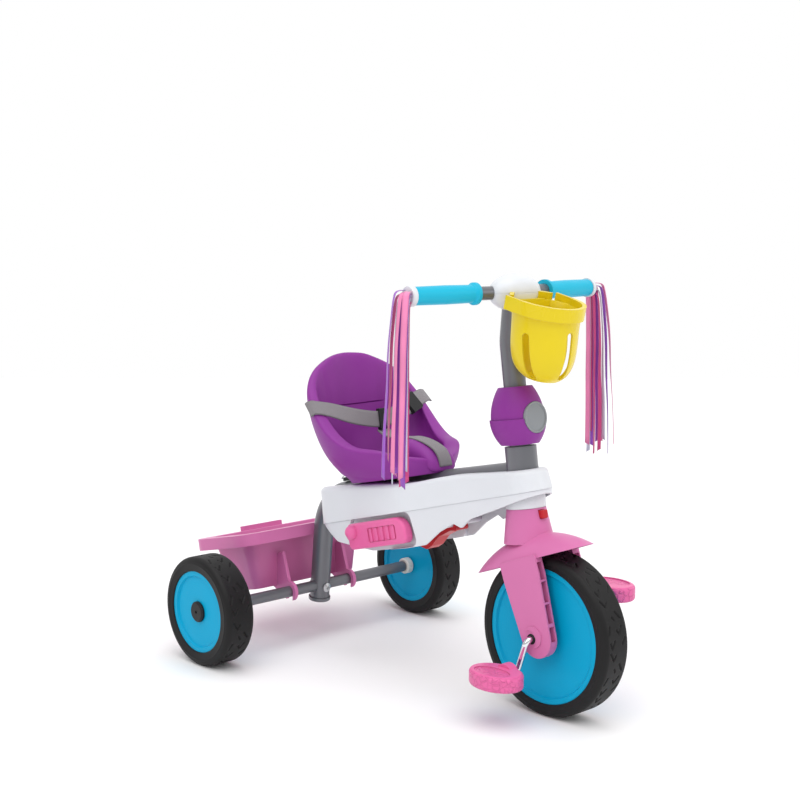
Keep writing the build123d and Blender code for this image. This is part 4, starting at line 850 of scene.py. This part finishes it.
# Ahead of the rear axle, to the left, up, and the lean of the strap in degrees. On the right the strap ends at the edge
# of the seat, and on the left its loose end stands out past the rim.
BELT_STATIONS = (
    (117, -117, 397.5, 30), (121, -116, 400.5, 42), (126.5, -110, 402.2, 47), (135, -88, 397.5, 38),
    (149, -48, 385, 20), (157, -4, 378.5, 10), (149, 42, 385, 20), (134, 88, 397, 38),
    (125, 112, 401.5, 47), (121, 122, 402, 48), (118, 131, 400.5, 48),
)
# Along the seat and up from its underside, down the middle of the pommel
CROTCH_LINE = ((39, 72), (50, 61), (84, 54.5), (113, 53.2), (148.5, 38.6), (166.8, 21.2), (166.8, 4))
seat_along = Vector((math.cos(SEAT_RISE), 0, math.sin(SEAT_RISE)))
seat_up = Vector((-math.sin(SEAT_RISE), 0, math.cos(SEAT_RISE)))


def seat_place(u, y, w):
    """A point along the seat, to its left and up from its underside, in millimetres."""
    return SEAT_ORIGIN + (seat_along * u + seat_up * w + Vector((0, y, 0))) * MM


def through(values, per_run=8):
    """A smooth run of values through the given ones, as a Catmull-Rom curve."""
    table = np.array([values[0], *values, values[-1]], float)
    found = []
    for index in range(1, len(table) - 2):
        p0, p1, p2, p3 = table[index - 1:index + 3]
        for step in range(per_run):
            t = step / per_run
            found.append(0.5 * (2 * p1 + (p2 - p0) * t + (2 * p0 - 5 * p1 + 4 * p2 - p3) * t * t
                                + (3 * p1 - p0 - 3 * p2 + p3) * t ** 3))
    found.append(table[-2])
    return found


def strap(name, path, sides, node):
    band = flat_band(name, path, sides, WEBBING_WIDTH, WEBBING_THICKNESS, 0.0, 8)
    band.data.materials.append(finishes["grey_webbing"])
    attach(band, "seat")
    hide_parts(node)
    return band


belt_path, belt_sides = [], []
for x, y, z, lean in through(BELT_STATIONS):
    belt_path.append(Vector((REAR_AXLE_X + x * MM, y * MM, z * MM)))
    belt_sides.append(Vector((-math.sin(math.radians(lean)), 0, math.cos(math.radians(lean)))))
strap("lap_belt_webbing", belt_path, belt_sides, "lap_belt")

crotch_path = spline_points("crotch_route", [seat_place(u, 0, w) for u, w in CROTCH_LINE])
strap("crotch_webbing", crotch_path, [Vector((0, 1, 0))] * len(crotch_path), "crotch_strap")
print("lap belt length:", round(run_length(belt_path), 3), "crotch strap:", round(run_length(crotch_path), 3))

# %% [markdown]
# The seat is one soft moulded bowl. The rigid model gives its size and place, and here its skin is drawn again as one
# smooth sheet. Each line of the sheet starts under the seat, climbs the outside, rolls over the rim, and goes down
# the inside to the middle of the floor. The rim is broad in front and thin at the back.

# %% Seat skin
# Height of each oval over the seat's underside, its middle, half length and half width, in millimetres
SEAT_OVALS = (
    (-4, 68, 92, 66), (0, 68, 92, 67), (18, 62, 99, 89), (45, 55, 102, 107), (85, 44, 97, 117), (125, 35, 90, 119),
    (155, 29, 84, 112), (176, 22, 74, 94), (190, 14, 60, 68), (197, 9, 48, 49), (200.5, 8, 39, 36), (203, 7, 30, 20),
)
# Turn around the seat in degrees, from the front, with the height and the breadth of the rim there
SEAT_RIM = (
    (0, 15, 20), (17, 18, 22), (39, 27, 25), (54, 38, 26), (76, 48, 25), (90, 69, 23), (103, 111, 20),
    (114, 149, 16), (120, 173, 13), (125, 187, 11), (132, 196.5, 10), (150, 199, 11), (180, 200, 12),
)
SEAT_LINES = 144
OUTSIDE_STEPS = 20
RIM_STEPS = 8
INSIDE_STEPS = 26
FLOOR_MIDDLE = 46.0
FLOOR_RADIUS = 40.0
FLOOR_HEIGHT = 14.0
FLOOR_STEPS = 5
RIM_BULGE = 0.22
CLIMB_BEND = 1.5
# How far the inside wall bellies out at the depth given, and the shares of the depth where its two bends lie
BELLY = 10
BELLY_DEPTH = 190
UPPER_BEND = 0.4
LOWER_BEND = 0.02
FIXED_ROWS = 3
SMOOTH_ROUNDS = 8


def oval_point(height, turn):
    """A point on the outside of the seat, at this height and turn."""
    heights = [oval[0] for oval in oval_table]
    middle_u, half_u, half_y = (np.interp(height, heights, [oval[k] for oval in oval_table]) for k in (1, 2, 3))
    return np.array([middle_u + half_u * math.cos(turn), half_y * math.sin(turn), height])


def outside_line(foot_turn, rim_turn, rim_height):
    """Points up the outside of the seat, from its foot to its rim."""
    foot_height = SEAT_OVALS[0][0]
    found = []
    for step in range(OUTSIDE_STEPS + 1):
        climb = step / OUTSIDE_STEPS
        height = foot_height + (rim_height - foot_height) * climb
        found.append(oval_point(height, foot_turn + (rim_turn - foot_turn) * climb ** CLIMB_BEND))
    return found


def rim_line(outside, inward, breadth):
    """Points over the rim, from the top of the outside line."""
    outer = outside[-1]
    climb = (outer - outside[-2]) / np.linalg.norm(outer - outside[-2])
    lift = climb - inward * climb.dot(inward)
    lift /= np.linalg.norm(lift)
    shares = [step / RIM_STEPS for step in range(1, RIM_STEPS + 1)]
    return [
        outer + inward * breadth * share + lift * breadth * RIM_BULGE * math.sin(math.pi * share) for share in shares]


def inside_line(inner, inward):
    """Points down the inside wall and across the floor to its middle."""
    depth = inner[2] - FLOOR_HEIGHT
    floor_edge = floor_middle - inward * FLOOR_RADIUS
    belly = inward * (np.linalg.norm((inner - floor_middle)[:2]) + BELLY * depth / BELLY_DEPTH)
    upper_bend = np.array([FLOOR_MIDDLE, 0, inner[2] - UPPER_BEND * depth]) - belly
    lower_bend = np.array([FLOOR_MIDDLE, 0, FLOOR_HEIGHT + LOWER_BEND * depth]) - belly
    corners = (inner, upper_bend, lower_bend, floor_edge)
    found = []
    for step in range(1, INSIDE_STEPS + 1):
        t = step / INSIDE_STEPS
        weights = ((1 - t) ** 3, 3 * t * (1 - t) ** 2, 3 * t * t * (1 - t), t ** 3)
        found.append(sum(weight * corner for weight, corner in zip(weights, corners)))
    for step in range(1, FLOOR_STEPS):
        found.append(floor_edge + (floor_middle - floor_edge) * step / FLOOR_STEPS)
    return found


oval_table = through(SEAT_OVALS, 8)
rim_table = through(SEAT_RIM, 10)
rim_points = [oval_point(height, math.radians(turn)) for turn, height, breadth in rim_table]
rim_run = np.array([0.0, *np.cumsum([
    np.linalg.norm(after - before) for before, after in zip(rim_points, rim_points[1:])])])
floor_middle = np.array([FLOOR_MIDDLE, 0, FLOOR_HEIGHT])
seat_lines = []
for line in range(SEAT_LINES):
    share = 2 * line / SEAT_LINES
    mirror = 1 if share <= 1 else -1
    share = share if share <= 1 else 2 - share
    rim_turn, rim_height, breadth = (
        np.interp(share * rim_run[-1], rim_run, [entry[k] for entry in rim_table]) for k in (0, 1, 2))
    outside = outside_line(math.pi * share, math.radians(rim_turn), rim_height)
    inward = np.array([FLOOR_MIDDLE - outside[-1][0], -outside[-1][1], 0.0])
    inward /= np.linalg.norm(inward)
    over = rim_line(outside, inward, breadth)
    places = outside + over + inside_line(outside[-1] + inward * breadth, inward)
    seat_lines.append([seat_place(u, mirror * y, w) for u, y, w in places])
print("lines of the seat:", len(seat_lines), "points on each:", len(seat_lines[0]))


# %% Seat mesh
def ring_faces(build, first, second):
    """Faces between two closed rings of as many points."""
    for index in range(len(first)):
        after = (index + 1) % len(first)
        build.faces.new((first[index], first[after], second[after], second[index]))


def seat_piece(name, build):
    """Turn the mesh that was built into a smooth piece of the seat."""
    mesh = bpy.data.meshes.new(name)
    build.to_mesh(mesh)
    build.free()
    mesh.materials.append(special["seat_shell"])
    piece = add_object(name, mesh)
    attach(piece, "seat")
    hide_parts("seat_shell")
    print(name, "faces:", len(mesh.polygons))


def smooth_faces(build):
    for face in build.faces:
        face.smooth = True
    bmesh.ops.recalc_face_normals(build, faces=build.faces)


seat_build = bmesh.new()
seat_grid = [[seat_build.verts.new(place) for place in line] for line in seat_lines]
seat_rings = list(zip(*seat_grid))
for first, second in zip(seat_rings, seat_rings[1:]):
    ring_faces(seat_build, first, second)
seat_build.faces.new(seat_rings[0])
floor_vertex = seat_build.verts.new(seat_place(FLOOR_MIDDLE, 0, FLOOR_HEIGHT))
for index, vertex in enumerate(seat_rings[-1]):
    seat_build.faces.new((vertex, seat_rings[-1][(index + 1) % SEAT_LINES], floor_vertex))
smooth_faces(seat_build)
free = [vertex for ring in seat_rings[FIXED_ROWS:] for vertex in ring]
for _ in range(SMOOTH_ROUNDS):
    bmesh.ops.smooth_vert(seat_build, verts=free, factor=0.5, use_axis_x=True, use_axis_y=True, use_axis_z=True)
seat_piece("seat_skin", seat_build)

# %% [markdown]
# The pommel is a rounded hump between the legs, a run of rounded slices along the middle of the seat. It sits in the
# bowl, and both together stand for the seat shell.

# %% Pommel
# Along the seat, half width, underside and top of each slice, in millimetres
POMMEL_SLICES = (
    (84, 8, 13, 24), (87, 19, 10, 38), (93, 25, 8, 46.5), (102, 28, 6, 51), (113, 29, 4, 51.6), (126, 29, 2, 47),
    (140, 28.5, 0, 40), (152, 27.5, -2, 31.5), (160, 25, -3, 22), (164, 21, -3, 14), (166, 13, -2, 7),
)
SLICE_POINTS = 28
SLICE_SQUARE = 3.2


def squared(value):
    """A sine or cosine pushed out towards the corners of a square."""
    return math.copysign(abs(value) ** (2 / SLICE_SQUARE), value)


pommel_build = bmesh.new()
pommel_rings = []
for u, half, low, high in through(POMMEL_SLICES, 4):
    ring = []
    for step in range(SLICE_POINTS):
        turn = 2 * math.pi * step / SLICE_POINTS
        across, up = squared(math.cos(turn)), squared(math.sin(turn))
        ring.append(pommel_build.verts.new(seat_place(u, half * across, (low + high) / 2 + (high - low) / 2 * up)))
    pommel_rings.append(ring)
for first, second in zip(pommel_rings, pommel_rings[1:]):
    ring_faces(pommel_build, first, second)
pommel_build.faces.new(pommel_rings[0])
pommel_build.faces.new(pommel_rings[-1])
smooth_faces(pommel_build)
seat_piece("pommel_skin", pommel_build)

# %% [markdown]
# The tricycle stands on a plain white floor in soft light from all round. A broad sun overhead lights the floor evenly,
# a white wall closes the view behind, and two weak lamps, ahead and on the right, add highlights on tyres and tubes.

# %% Floor and light
FLOOR_SIZE = 30.0
WALL_BACK = 4.0
WALL_HEIGHT = 9.0
WORLD_LIGHT = 0.62
SUN_LIGHT = 1.9
SUN_ANGLE = 70.0


def sheet(name, corners, finish):
    mesh = bpy.data.meshes.new(name)
    mesh.from_pydata(corners, [], [(0, 1, 2, 3)])
    mesh.materials.append(finish.material)
    add_object(name, mesh)


corner = FLOOR_SIZE / 2
floor_finish = Finish("floor_white", Base_Color=(0.9, 0.9, 0.905, 1), Roughness=0.7, Specular_IOR_Level=0.1)
sheet("floor", [(-corner, -corner, 0), (corner, -corner, 0), (corner, corner, 0), (-corner, corner, 0)], floor_finish)
away = Vector((-math.sin(math.radians(CAMERA_TURN)), math.cos(math.radians(CAMERA_TURN)), 0))
beside = Vector((away.y, -away.x, 0)) * corner
foot = away * WALL_BACK
top = foot + Vector((0, 0, WALL_HEIGHT))
wall_finish = Finish(
    "wall_white", Base_Color=(0, 0, 0, 1), Specular_IOR_Level=0.0, Emission_Color=(1, 1, 1, 1), Emission_Strength=1.0)
sheet("wall", [foot - beside, foot + beside, top + beside, top - beside], wall_finish)

scene = bpy.context.scene
scene.view_settings.view_transform = "Standard"
world = bpy.data.worlds.new("studio")
world.use_nodes = True
world.node_tree.nodes["Background"].inputs["Color"].default_value = (1, 1, 1, 1)
world.node_tree.nodes["Background"].inputs["Strength"].default_value = WORLD_LIGHT
scene.world = world


def aim(thing, place, target):
    thing.location = place
    thing.rotation_euler = (Vector(target) - Vector(place)).to_track_quat("-Z", "Y").to_euler()


def lamp(name, place, target, size, power):
    data = bpy.data.lights.new(name, "AREA")
    data.shape = "DISK"
    data.size = size
    data.energy = power
    aim(add_object(name, data), place, target)


LAMP_TARGET = (0, 0, 0.25)
SUN_PLACE = (0.5, -0.35, 2.0)
sun_data = bpy.data.lights.new("sun", "SUN")
sun_data.energy = SUN_LIGHT
sun_data.angle = math.radians(SUN_ANGLE)
aim(add_object("sun", sun_data), SUN_PLACE, (0, 0, 0))
lamp("front_lamp", (1.8, 1.2, 1.3), LAMP_TARGET, 0.9, 4)
lamp("side_lamp", (0.3, -2.2, 1.6), LAMP_TARGET, 1.2, 5)
